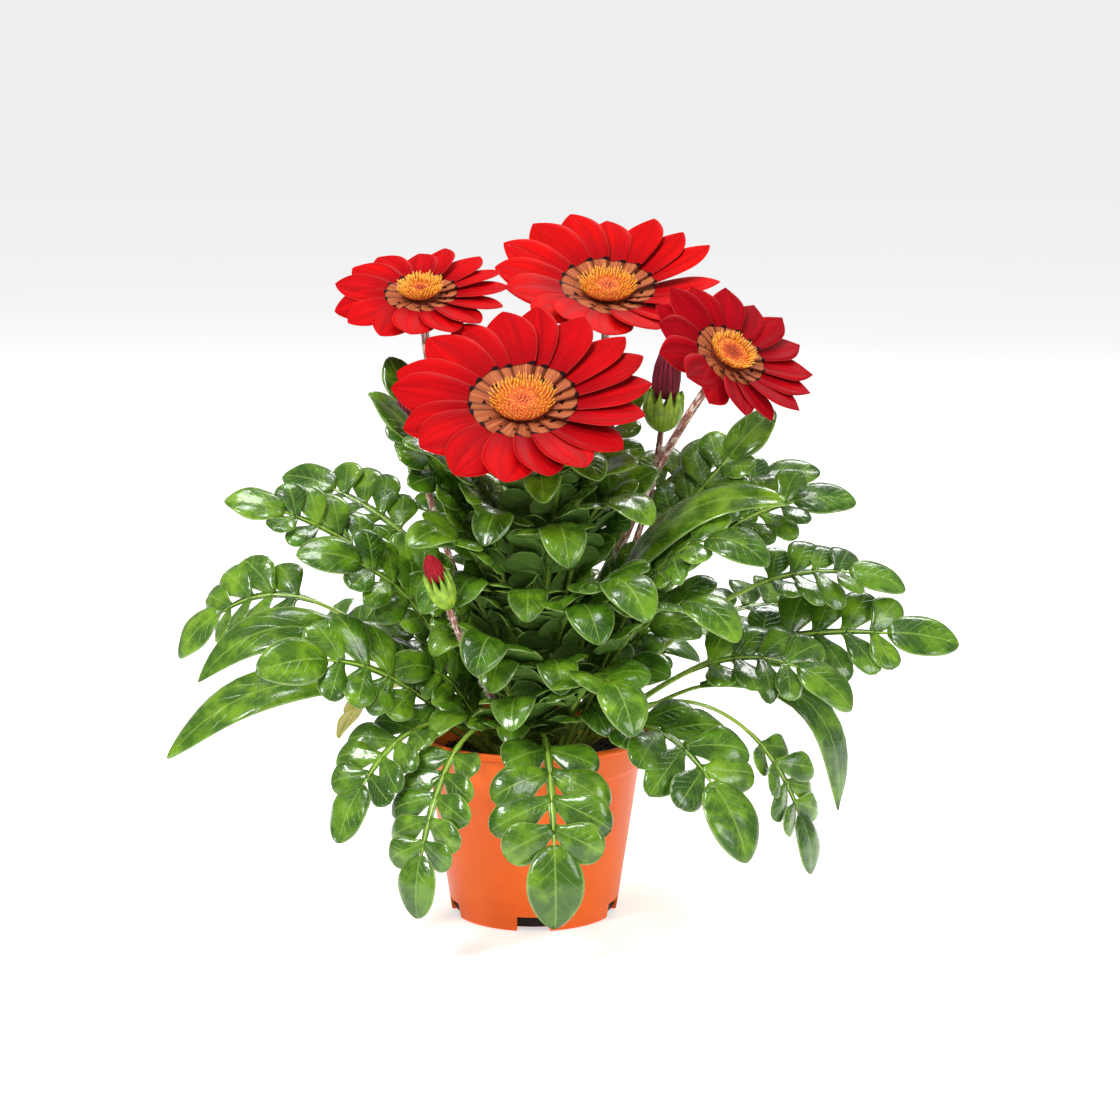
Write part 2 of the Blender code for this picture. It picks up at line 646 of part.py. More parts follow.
def make_cup(name, radius, length, top, place, finish, sides=12, tip_share=0.5):
    """The green cup under a bloom or bud: a turned body whose rim runs up into pointed bracts."""
    points, faces = [Vector((0, 0, top - length))], []
    rings = ((0.28, -1.0), (0.72, -0.8), (1.0, -0.35), (0.96, 0.0))
    for r, h in rings:
        for k in range(sides):
            angle = 2 * math.pi * k / sides
            raised = length * tip_share * (0 if k % 2 else 1) if h == 0.0 else 0
            out = radius * r
            height = top + h * length - (length * tip_share if h == 0.0 else 0) + raised
            points.append(Vector((out * math.cos(angle), out * math.sin(angle), height)))
    points.append(Vector((0, 0, top - length * tip_share)))
    last = len(points) - 1
    for k in range(sides):
        after = (k + 1) % sides
        faces.append((0, 1 + after, 1 + k))
        for r in range(len(rings) - 1):
            low, high = 1 + r * sides, 1 + (r + 1) * sides
            faces.append((low + k, low + after, high + after))
            faces.append((low + k, high + after, high + k))
        end = 1 + (len(rings) - 1) * sides
        faces.append((end + k, end + after, last))
    mesh_object(name, points, faces, finish).matrix_world = place


def make_stalk(name, top, axis, azimuth, root, radius, finish):
    """A flower stalk from the soil up to the cup. It returns the root's hole."""
    angle = math.radians(azimuth)
    foot = Vector((math.cos(angle), math.sin(angle), 0)) * root * MM + Vector((0, 0, SOIL_TOP))
    lean = (top - foot).normalized()
    leave = (lean + Vector((0, 0, 0.8))).normalized()
    start = foot - leave * ROOT_DEPTH
    path = curve_points(start, leave, top, axis, STALK_SECTIONS + 1)
    radii = [radius * (1.15 - 0.25 * k / STALK_SECTIONS) for k in range(STALK_SECTIONS + 1)]
    mesh_object(name, *tube(path, radii, STALK_SIDES, axis), finish, smooth=True)
    half = 1.2 * radius + HOLE_PLAY
    return foot, leave, (half, half)


def make_bud(number, row, finishes):
    """A closed bud: a ribbed cone of folded petals in its cup, on a stalk."""
    tip, direction, length, radius, cup_length, azimuth, root = row
    length, radius, cup_length = length * MM, radius * MM, cup_length * MM
    axis = Vector(direction).normalized()
    place = Matrix.Translation(Vector(tip) * MM - axis * length) @ facing(direction)
    profile = [(0, 0), (radius * 0.86, 0), (radius * 0.9, 0.35 * length), (radius * 0.66, 0.72 * length)]
    profile += [(radius * 0.3, 0.94 * length), (0, length)]

    def pleats(angle, height):
        return 0.07 * math.cos(8 * angle)

    mesh_object(f"bud_petals_{number}", *turned(profile, 16, pleats), finishes["bud"]).matrix_world = place
    make_cup(f"bud_cup_{number}", 1.15 * radius, cup_length, -GAP, place, finishes["cup"], 10, 0.3)
    top = Vector(tip) * MM - axis * (length + cup_length + 2 * GAP)
    return make_stalk(f"bud_stalk_{number}", top, axis, azimuth, root, BUD_STALK_RADIUS, finishes["stalk"])


def leaf_roots():
    """The hole that the stalk of each leaf outside the crown needs in the soil."""
    for row in LEAVES:
        azimuth, root = math.radians(row[0]), row[8] * MM
        if root > CROWN_RADIUS:
            foot = Vector((math.cos(azimuth) * root, math.sin(azimuth) * root, SOIL_TOP))
            yield foot, azimuth, math.radians(row[3])


def petiole_hole(foot, azimuth, slope):
    """(middle, direction, half sizes) of a leaf stalk's hole; the wide side lies across the azimuth."""
    wide = PETIOLE_HALF_WIDTH + HOLE_PLAY
    return foot, slanted(azimuth, slope), (wide, wide)


def main():
    clear_scene()
    finishes = {
        "pot": material("pot_plastic", (0.83, 0.16, 0.03), 0.45),
        "soil": material("soil", (0.012, 0.009, 0.007), 0.95),
        "leaf": material("leaf", (0.045, 0.16, 0.02), 0.35),
        "petal": material("petal", (0.62, 0.008, 0.01), 0.5),
        "disc": material("disc", (0.75, 0.27, 0.02), 0.7),
        "cup": material("cup", (0.14, 0.28, 0.03), 0.5),
        "stalk": material("stalk", (0.25, 0.1, 0.05), 0.6),
        "bud": material("bud", (0.13, 0.008, 0.02), 0.5),
    }
    make_pot(finishes["pot"])
    make_leaves(finishes["leaf"])
    roots = [petiole_hole(*root) for root in leaf_roots()]
    for number, row in enumerate(BLOOMS, 1):
        roots.append(make_bloom(number, row, finishes))
    for number, row in enumerate(BUDS, 1):
        roots.append(make_bud(number, row, finishes))
    make_soil(finishes["soil"], roots)


main()
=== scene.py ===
"""The looks of the potted gazania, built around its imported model. Metres, +Z up, -Y is the front."""

import math

import bpy
import numpy as np
from mathutils import Matrix, Vector
from mathutils.kdtree import KDTree


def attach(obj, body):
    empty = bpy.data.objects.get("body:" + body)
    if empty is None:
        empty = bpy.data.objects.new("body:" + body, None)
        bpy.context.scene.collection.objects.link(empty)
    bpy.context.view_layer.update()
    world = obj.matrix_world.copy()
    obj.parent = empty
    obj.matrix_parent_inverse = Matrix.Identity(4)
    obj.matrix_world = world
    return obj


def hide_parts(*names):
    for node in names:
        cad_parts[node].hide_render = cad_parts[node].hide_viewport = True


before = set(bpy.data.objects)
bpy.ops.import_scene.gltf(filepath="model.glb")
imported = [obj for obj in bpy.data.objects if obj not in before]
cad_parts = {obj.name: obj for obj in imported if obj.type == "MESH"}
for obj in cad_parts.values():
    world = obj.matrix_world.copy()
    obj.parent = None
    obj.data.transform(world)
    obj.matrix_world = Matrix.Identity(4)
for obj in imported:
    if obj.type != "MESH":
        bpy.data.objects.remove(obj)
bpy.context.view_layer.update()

MM = 0.001

# The pot, its soil and the roots, as in the model.
POT_HEIGHT = 85 * MM
RIM_RADIUS = 55 * MM
COLLAR_HEIGHT = 14 * MM
COLLAR_FOOT_RADIUS = 49.5 * MM
BODY_TOP_RADIUS = 48.2 * MM
FOOT_RADIUS = 38.0 * MM
# The wall tapers evenly from here up to the collar.
TAPER_FROM = 12 * MM
TAPER_FOOT_RADIUS = FOOT_RADIUS + 1.6 * MM
WALL = 1.3 * MM
FLOOR_TOP = 1.6 * MM
NOTCH_COUNT = 5
NOTCH_HEIGHT = 7.0 * MM
NOTCH_WIDTH = 14.5 * MM
NOTCH_DEPTH = 16 * MM
SOIL_TOP = 73 * MM
ROOT_DEPTH = 3.5 * MM
GAP = 0.3 * MM

# The leaves.
PETIOLE_THICKNESS = 1.9 * MM
PETIOLE_HALF_WIDTH = 1.35 * MM
RIB_HALF_WIDTH = 0.9 * MM
SPINE_HANDLE = 0.42
HANG_HANDLE = 0.2
LOBE_ANGLE = math.radians(62)
LOBE_ANGLE_SPREAD = math.radians(5)
LOBE_TILT = math.radians(13)
LOBE_LIFT = math.radians(9)
LOBE_LIFT_SPREAD = math.radians(11)
BLADE_LIFT = math.radians(6)
# A lobe's half width as a share of the way to the next, and how much wider it is made so that they overlap.
LOBE_SHARE = 0.47
LOBE_OVERLAP = 1.2
# In lengths of a lobe.
LOBE_STEP = 0.62
LOBE_STRETCH = 1.06
TERMINAL_SHARE = 1.3
TERMINAL_HALF_SHARE = 0.45
PLAIN_HALF_SHARE = 0.62
SAG_FROM = 0.6
SAG = 0.9
# In lengths of a leaf: a plain blade, and the most that a lobed blade takes.
PLAIN_LENGTH_SHARE = 0.62
MOST_BLADE = 0.8
# How far a blade arches and waves for its half width, and how far its tip curls down for its length.
CAMBER = 0.16
WAVE = 0.035
CURL = 0.06
CURL_SPREAD = 0.07
PUCKER = 0.12 * MM
GROOVE_DEPTH = 0.34 * MM
GROOVE_HALF_SHARE = 0.2
EDGE_HALF_THICKNESS = 0.13 * MM
MIDDLE_HALF_THICKNESS = 0.32 * MM
BLADE_ROWS, BLADE_COLUMNS = 16, 9
WING_HALF_WIDTH = 1.9 * MM
WING_HALF_THICKNESS = 0.2 * MM
WING_ROWS, WING_COLUMNS = 26, 5
RIB_POINTS = 44
# The seeds of a leaf's lobes start this far apart from the next leaf's.
SEEDS_PER_LEAF = 31
YELLOWING_LEAF = 11
YELLOWED = 2

# Each leaf: azimuth, reach and tip height in mm, launch and landing slope, pairs of lobes, lobe length in mm,
# roll, and root radius in mm. Angles are in degrees, azimuth 0 is +X and -90 the front. No pairs makes a
# plain blade. The pairs are the model's, and the leaves here have one more.
LEAVES = (
    (-170, 168, 80, 38, -42, 0, 20, -35, 21),
    (-149, 137, 126, 42, -12, 4, 26, -52, 21),
    (-178, 152, 107, 46, -50, 0, 19, -45, 21),
    (172, 166, 112, 50, -55, 3, 23, -42, 21),
    (146, 158, 96, 44, -40, 3, 25, -20, 21),
    (-174, 137, 193, 58, 12, 4, 21, -40, 5),
    (157, 128, 195, 70, 10, 3, 22, -40, 5),
    (-158, 76, 241, 80, 45, 3, 25, -35, 5),
    (-162, 108, 172, 58, 5, 3, 23, -45, 16),
    (154, 74, 250, 78, 60, 3, 20, -35, 5),
    (150, 108, 66, 46, -60, 3, 20, 0, 21),
    (-138, 112, 52, 54, -66, 3, 21, -15, 21),
    (-118, 106, 24, 64, -84, 4, 21, 0, 21),
    (-84, 96, 20, 66, -92, 3, 28, 0, 21),
    (-44, 128, 48, 46, -62, 3, 29, 12, 21),
    (-24, 134, 32, 54, -82, 3, 21, 10, 21),
    (-2, 146, 46, 40, -84, 0, 16, 42, 21),
    (2, 194, 122, 40, -12, 4, 26, 42, 16),
    (6, 172, 146, 50, -22, 3, 22, 35, 16),
    (0, 145, 190, 58, -4, 3, 22, 38, 16),
    (13, 135, 200, 62, 8, 3, 21, 35, 5),
    (9, 110, 228, 67, 46, 3, 23, 38, 5),
    (-20, 118, 198, 62, -4, 0, 24, 30, 5),
    (44, 68, 238, 76, 40, 3, 21, 20, 5),
    (-58, 92, 150, 70, -48, 3, 26, 10, 5),
    (-38, 112, 140, 62, -44, 3, 26, 14, 16),
    (-31, 118, 172, 64, -30, 3, 25, 24, 16),
    (-106, 86, 128, 66, -52, 3, 23, -20, 21),
    (-128, 84, 180, 70, -20, 3, 22, -22, 5),
    (-76, 66, 172, 78, -52, 3, 23, 4, 5),
    (-48, 76, 188, 76, -36, 3, 23, 10, 5),
    (-66, 104, 104, 58, -60, 3, 24, 6, 21),
    (-14, 146, 102, 46, -44, 3, 24, 30, 21),
    (30, 166, 118, 42, -26, 3, 26, 20, 21),
    (48, 150, 90, 44, -48, 3, 23, 0, 21),
    (68, 140, 124, 44, -26, 3, 26, 0, 21),
    (84, 158, 100, 42, -38, 3, 27, 0, 21),
    (104, 130, 150, 54, -14, 3, 23, 0, 16),
    (122, 152, 106, 44, -34, 3, 27, 0, 21),
    (84, 72, 228, 78, 45, 3, 23, 0, 5),
    (112, 66, 236, 78, 50, 3, 22, 0, 5),
    (123, 99, 216, 70, 46, 3, 22, -10, 5),
    (-97, 78, 104, 62, -44, 3, 22, 8, 21),
    (-132, 72, 150, 70, -44, 3, 22, -14, 5),
    (-70, 84, 140, 68, -50, 3, 23, 8, 5),
    (-140, 70, 224, 78, 25, 3, 22, -30, 5),
    (62, 62, 238, 78, 55, 3, 22, 10, 5),
    (-34, 54, 212, 80, 15, 3, 22, 25, 5),
    (35, 111, 208, 72, 20, 3, 22, 30, 5),
    (165, 51, 206, 80, 25, 3, 22, -30, 5),
    (-56, 78, 112, 64, -46, 3, 22, 12, 16),
)

# Young leaves between the grown ones, in the same terms as LEAVES. They fill the middle of the plant.
YOUNG_LEAVES = (
    (-165, 62, 152, 74, -10, 3, 17, -66, 20),
    (-150, 74, 118, 66, -20, 3, 18, -60, 21),
    (-172, 84, 168, 66, 0, 3, 18, -60, 18),
    (-146, 46, 184, 80, 30, 3, 17, -62, 16),
    (-18, 58, 148, 76, -12, 3, 17, 66, 20),
    (-30, 70, 116, 68, -22, 3, 18, 60, 21),
    (-8, 78, 166, 68, 0, 3, 18, 60, 18),
    (-36, 44, 176, 80, 28, 3, 17, 62, 16),
    (-100, 58, 92, 74, -40, 2, 17, 0, 24),
    (-60, 66, 96, 70, -44, 2, 17, 8, 24),
    (-128, 70, 94, 66, -44, 2, 17, -8, 24),
    (-160, 50, 212, 82, 40, 3, 17, -60, 12),
    (-14, 56, 206, 80, 36, 3, 17, 60, 12),
    (70, 72, 150, 70, -10, 3, 18, 0, 16),
    (100, 66, 170, 76, 0, 3, 18, 0, 14),
    (140, 72, 140, 70, -20, 3, 18, 0, 18),
    (40, 76, 140, 70, -20, 3, 18, 0, 18),
    (-90, 36, 160, 84, 20, 3, 15, 50, 14),
    (-112, 56, 178, 80, -50, 3, 20, -10, 8),
    (-122, 64, 152, 72, -48, 3, 20, -14, 14),
    (-92, 62, 146, 78, -52, 3, 20, 0, 12),
    (-104, 72, 118, 70, -52, 3, 20, -6, 18),
    (-84, 48, 196, 82, -45, 3, 18, 6, 8),
    (-60, 58, 206, 80, -35, 3, 19, 12, 8),
    (-80, 74, 118, 72, -50, 3, 20, 4, 18),
    (-50, 70, 148, 72, -40, 3, 20, 14, 18),
    (-138, 60, 128, 72, -44, 3, 19, -20, 18),
    (-150, 60, 176, 78, -20, 3, 20, -40, 10),
    (80, 86, 106, 68, -44, 3, 20, 0, 20),
    (101, 78, 124, 70, -40, 3, 20, 0, 20),
    (121, 86, 104, 66, -46, 3, 20, 0, 20),
    (58, 84, 114, 68, -42, 3, 20, 0, 20),
    (14, 80, 112, 66, -40, 3, 19, 25, 20),
    (-4, 76, 128, 70, -34, 3, 19, 45, 20),
    (176, 78, 122, 68, -36, 3, 19, -30, 20),
)
# Between these azimuths they belong to the front piece, and the others to the back one.
FRONT_SIDE = (-150, -20)

# Each bloom: centre in mm, facing direction, radius in mm, petal count, lift and tip droop in degrees,
# azimuth where its stalk leaves the soil, and the root's distance from the middle in mm.
BLOOMS = (
    ((-4, -30, 235), (-0.03, -0.57, 0.82), 59, 18, 14, 3, -100, 12),
    ((34, 60, 277), (0.03, -0.48, 0.88), 55, 16, 19, 3, 60, 12),
    ((-51, 30, 278), (-0.05, -0.44, 0.89), 41, 15, 10, 7, 150, 12),
    ((85, -20, 255), (0.42, -0.56, 0.71), 41, 16, 14, 4, -15, 12),
)
# In radii of a bloom.
DISC_SHARE = 0.227
THROAT_SHARE = 0.2
CUP_RADIUS_SHARE = 0.25
CUP_LENGTH_SHARE = 0.2
# Heights above a bloom's centre.
THROAT_TOP = 1.1 * MM
THROAT_BOTTOM = -1.2 * MM
CUP_TEETH = 12
STALK_RADIUS = 2.1 * MM
# Every second petal is lifted, in degrees, and raised a little. All are tilted, to overlap like shingles.
LAYER_LIFT = 1.2
LAYER_RAISE = 0.15 * MM
SHINGLE_TILT = 0.20
PETAL_ROWS, PETAL_COLUMNS = 22, 11
PETAL_HALF_THICKNESS = 0.28 * MM
PLEAT = 0.30 * MM
FLORETS = 230
# The share of the disc's radius inside which the florets are still closed, for each bloom.
CLOSED_SHARES = (0.42, 0.42, 0.42, 0.78)
# For each bloom, how far its petals overlap, how blunt their points are, and how bright a red they have.
PETAL_STYLES = ((1.16, 0.82, 0.5), (1.08, 0.86, 0.8), (1.08, 0.82, 0.55), (1.08, 1.1, 0.06))

# Each bud: tip in mm, facing direction, petal cone length and widest radius in mm, cup length in mm,
# stalk azimuth, and root distance in mm.
BUDS = (
    ((-44, -66, 176), (-0.3, -0.3, 0.9), 12, 4.6, 15, -128, 15),
    ((62, 26, 258), (0.1, 0.0, 1.0), 26, 7.0, 15, 22, 13),
    ((-59, 6, 243), (-0.2, -0.1, 0.97), 18, 4.5, 11, 172, 12),
)
BUD_CUP_SHARE = 1.15
BUD_CUP_SWELL = 1.18
BUD_CUP_TEETH = 10
BUD_STALK_RADIUS = 1.6 * MM
# How bright a red each bud has.
BUD_TONES = (0.9, 0.15, 0.25)

STALK_POINTS = 40
HAIRS_PER_STALK = 620
HAIR_RADII = (0.13 * MM, 0.10 * MM, 0.03 * MM)
CRUMBS = 900

# Where the photo was taken from.
CAMERA_PLACE = (0.0119, -1.15, 0.371)
CAMERA_DOWN = math.radians(10.3)
CAMERA_LENS = 83.5


def jitter(i, j):
    """A fixed pseudo-random number from -1 to 1 for a pair of counters."""
    return 2 * ((math.sin(i * 12.9898 + j * 78.233) * 43758.5453) % 1) - 1


def smooth(t):
    t = min(max(t, 0.0), 1.0)
    return t * t * (3 - 2 * t)


def crowded(t):
    """Steps from 0 to 1 that come closer together towards 1."""
    return 1 - (1 - t) ** 1.35


def bezier(start, a, b, end, t):
    u = 1 - t
    return start * u**3 + a * (3 * u * u * t) + b * (3 * u * t * t) + end * t**3


def curve_points(start, leave, end, arrive, count):
    """Points along a cubic from start to end, which leaves and arrives along unit directions."""
    reach = (end - start).length * (SPINE_HANDLE + HANG_HANDLE * max(-arrive.z, 0) ** 4)
    a, b = start + leave * reach, end - arrive * reach
    return [bezier(start, a, b, end, k / (count - 1)) for k in range(count)]


def slanted(azimuth, slope=0.0):
    """The unit direction of an azimuth and a slope above the horizon."""
    return Vector((math.cos(slope) * math.cos(azimuth), math.cos(slope) * math.sin(azimuth), math.sin(slope)))


def as_drawn(angle, share, radius, height):
    """A turned body's point just where its profile has it."""
    return radius, height


def facing(direction):
    """A rotation that turns +Z to direction and keeps +X level."""
    up = Vector(direction).normalized()
    across = Vector((0, 1, 0)).cross(up).normalized()
    return Matrix((across, up.cross(across), up)).transposed().to_4x4()


class Shell:
    """Closed surfaces gathered for one object, with four numbers at each point for its material."""

    MARKS = ("along", "across", "tint", "side")

    def __init__(self):
        self.points, self.faces, self.marks = [], [], []

    def sheet(self, rows, columns, cell):
        """A thin closed sheet of rows along t from 0 to 1 and columns across x from -1 to 1.

        cell(t, x) gives its middle, the way from there to its upper side, and its (along, across, tint).
        """
        cells = [cell(r / (rows - 1), 2 * c / (columns - 1) - 1) for r in range(rows) for c in range(columns)]
        first, count = len(self.points), len(cells)
        for sign, side in ((1, 0.0), (-1, 1.0)):
            self.points += [middle + half * sign for middle, half, _ in cells]
            self.marks += [(*marks, side) for _, _, marks in cells]
        for r in range(rows - 1):
            for c in range(columns - 1):
                a = first + r * columns + c
                quad = (a, a + 1, a + columns + 1, a + columns)
                self.faces += [quad, tuple(v + count for v in reversed(quad))]
        rim = [first + c for c in range(columns)]
        rim += [first + r * columns + columns - 1 for r in range(1, rows)]
        rim += [first + (rows - 1) * columns + c for c in range(columns - 2, -1, -1)]
        rim += [first + r * columns for r in range(rows - 2, 0, -1)]
        for a, b in zip(rim, rim[1:] + rim[:1]):
            self.faces.append((b, a, a + count, b + count))

    def tube(self, path, sides, radii, flat=1.0, up=None, marks=None):
        """A closed tube. radii holds one radius for each point; flat squeezes it along up."""
        first = len(self.points)
        across = None
        for k, centre in enumerate(path):
            ahead = (path[min(k + 1, len(path) - 1)] - path[max(k - 1, 0)]).normalized()
            if across is None:
                seed = up[0] if up else ahead.orthogonal()
                across = ahead.cross(seed).normalized()
            across = (across - ahead * across.dot(ahead)).normalized()
            rise = up[k] if up else across.cross(ahead)
            if up:
                across = ahead.cross(rise).normalized()
                rise = across.cross(ahead)
            for j in range(sides):
                angle = 2 * math.pi * j / sides
                offset = across * math.cos(angle) - rise * (math.sin(angle) * flat)
                self.points.append(centre + offset * radii[k])
                self.marks.append(marks[k] if marks else (k / (len(path) - 1), j / sides, 0.0, 0.5))
        for k in range(len(path) - 1):
            for j in range(sides):
                a, b = first + k * sides + j, first + k * sides + (j + 1) % sides
                self.faces.append((a, a + sides, b + sides, b))
        last = first + (len(path) - 1) * sides
        self.faces += [tuple(range(first, first + sides)), tuple(reversed(range(last, last + sides)))]

    def turned(self, profile, sides, shape=as_drawn, place=Matrix.Identity(4), tint=0.0):
        """A closed body turned about Z.

        shape(angle, share, radius, height) gives each point's radius and height.
        """
        first = len(self.points)
        steps = len(profile) - 1
        for n, (radius, height) in enumerate(profile):
            count = 1 if radius == 0 else sides
            for k in range(count):
                angle = 2 * math.pi * k / sides
                r, z = shape(angle, n / steps, radius, height)
                self.points.append(place @ Vector((r * math.cos(angle), r * math.sin(angle), z)))
                self.marks.append((n / steps, k / sides, tint, 0.0))
        rings = first + 1
        last = len(self.points) - 1
        for k in range(sides):
            after = (k + 1) % sides
            self.faces.append((first, rings + after, rings + k))
            for n in range(steps - 2):
                low, high = rings + n * sides, rings + (n + 1) * sides
                self.faces.append((low + k, low + after, high + after, high + k))
            top = rings + (steps - 2) * sides
            self.faces.append((top + k, top + after, last))

    def made(self, name, finish, slot, *nodes):
        """The smooth shaded object, in place of the nodes it stands for."""
        mesh = bpy.data.meshes.new(name)
        mesh.from_pydata([tuple(p) for p in self.points], [], self.faces)
        values = np.array(self.marks, np.float32)
        for k, title in enumerate(self.MARKS):
            mesh.attributes.new(title, "FLOAT", "POINT").data.foreach_set("value", values[:, k].copy())
        mesh.materials.append(finish)
        mesh.shade_smooth()
        obj = bpy.data.objects.new(name, mesh)
        bpy.context.scene.collection.objects.link(obj)
        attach(obj, "root")
        if nodes:
            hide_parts(*nodes)
        return obj


class Finish:
    """A node material under construction."""

    def __init__(self, name):
        self.material = bpy.data.materials.new(name)
        self.material.use_nodes = True
        self.tree = self.material.node_tree
        self.shader = self.tree.nodes["Principled BSDF"]
        self.place = self.add("ShaderNodeTexCoord").outputs["Object"]

    def add(self, kind, **settings):
        node = self.tree.nodes.new(kind)
        for key, value in settings.items():
            setattr(node, key, value)
        return node

    def put(self, socket, value):
        if isinstance(value, bpy.types.NodeSocket):
            self.tree.links.new(value, socket)
        elif isinstance(value, tuple) and len(value) == 3 and socket.type == "RGBA":
            socket.default_value = (*value, 1)
        else:
            socket.default_value = value

    def mark(self, title):
        return self.add("ShaderNodeAttribute", attribute_name=title).outputs["Fac"]

    def math(self, operation, a, b=0.0, c=0.0):
        node = self.add("ShaderNodeMath", operation=operation)
        for socket, value in zip(node.inputs, (a, b, c)):
            self.put(socket, value)
        return node.outputs[0]

    def times(self, a, b):
        return self.math("MULTIPLY", a, b)

    def plus(self, a, b):
        return self.math("ADD", a, b)

    def minus(self, a, b):
        return self.math("SUBTRACT", a, b)

    def step(self, value, low, high, start=0.0, end=1.0):
        """Rises smoothly from start to end as value goes from low to high."""
        node = self.add("ShaderNodeMapRange", interpolation_type="SMOOTHSTEP")
        for socket, number in zip(node.inputs, (value, low, high, start, end)):
            self.put(socket, number)
        return node.outputs[0]

    def mix(self, factor, a, b, blend="MIX"):
        node = self.add("ShaderNodeMix", data_type="RGBA", blend_type=blend)
        self.put(node.inputs[0], factor)
        self.put(node.inputs[6], a)
        self.put(node.inputs[7], b)
        return node.outputs[2]

    def noise(self, scale, detail=3.0, where=None, rough=0.55):
        node = self.add("ShaderNodeTexNoise")
        self.put(node.inputs["Vector"], where or self.place)
        node.inputs["Scale"].default_value = scale
        node.inputs["Detail"].default_value = detail
        node.inputs["Roughness"].default_value = rough
        return node.outputs["Fac"]

    def combine(self, x, y, z):
        node = self.add("ShaderNodeCombineXYZ")
        for socket, value in zip(node.inputs, (x, y, z)):
            self.put(socket, value)
        return node.outputs[0]

    def bump(self, height, depth, strength=1.0):
        node = self.add("ShaderNodeBump")
        node.inputs["Strength"].default_value = strength
        node.inputs["Distance"].default_value = depth
        self.put(node.inputs["Height"], height)
        self.put(self.shader.inputs["Normal"], node.outputs[0])

    def done(self, colour, roughness, **constants):
        self.put(self.shader.inputs["Base Color"], colour)
        self.put(self.shader.inputs["Roughness"], roughness)
        for key, value in constants.items():
            self.shader.inputs[key.replace("_", " ")].default_value = value
        return self.material


def leaf_finish():
    """Glossy deep green with pale ribs, fine side veins and a dull underside; yellow where tint is past 1."""
    f = Finish("leaf_skin")
    along, across, tint, side = (f.mark(t) for t in Shell.MARKS)
    spread = f.math("ABSOLUTE", across)
    mottle = f.noise(90, 4)
    grain = f.noise(700, 3)
    deep = f.mix(tint, (0.016, 0.058, 0.002), (0.042, 0.115, 0.004))
    green = f.mix(f.step(mottle, 0.38, 0.66), deep, f.mix(tint, (0.064, 0.170, 0.005), (0.155, 0.300, 0.010)))
    lateral = f.minus(f.times(along, 7.0), f.times(spread, 2.3))
    lateral = f.math("PINGPONG", f.plus(lateral, f.times(mottle, 0.5)), 0.5)
    veins = f.step(lateral, 0.0, 0.09, 1.0, 0.0)
    middle = f.step(spread, 0.01, 0.07, 1.0, 0.0)
    blade = f.mix(f.times(veins, 0.22), green, (0.17, 0.32, 0.05))
    blade = f.mix(f.times(f.step(spread, 0.88, 1.0), 0.6), blade, (0.30, 0.42, 0.12))
    blade = f.mix(f.times(middle, 0.5), blade, (0.25, 0.38, 0.06))
    below = f.mix(f.times(middle, 0.6), (0.14, 0.27, 0.045), (0.30, 0.42, 0.10))
    under = f.step(side, 0.8, 0.95)
    rib = f.times(f.step(side, 0.3, 0.45), f.step(side, 0.55, 0.7, 1.0, 0.0))
    stem = f.mix(f.step(along, 0.0, 0.5), (0.30, 0.30, 0.06), (0.27, 0.40, 0.05))
    colour = f.mix(rib, f.mix(under, blade, below), stem)
    colour = f.mix(f.step(tint, 1.2, 1.8, 0.0, 0.8), colour, (0.42, 0.42, 0.02))
    f.bump(f.plus(mottle, f.times(veins, -0.10)), 0.0016, 0.55)
    rough = f.plus(f.step(grain, 0.3, 0.75, 0.20, 0.34), f.times(under, 0.3))
    return f.done(colour, rough, Specular_IOR_Level=0.38, Coat_Weight=0.35, Coat_Roughness=0.06)


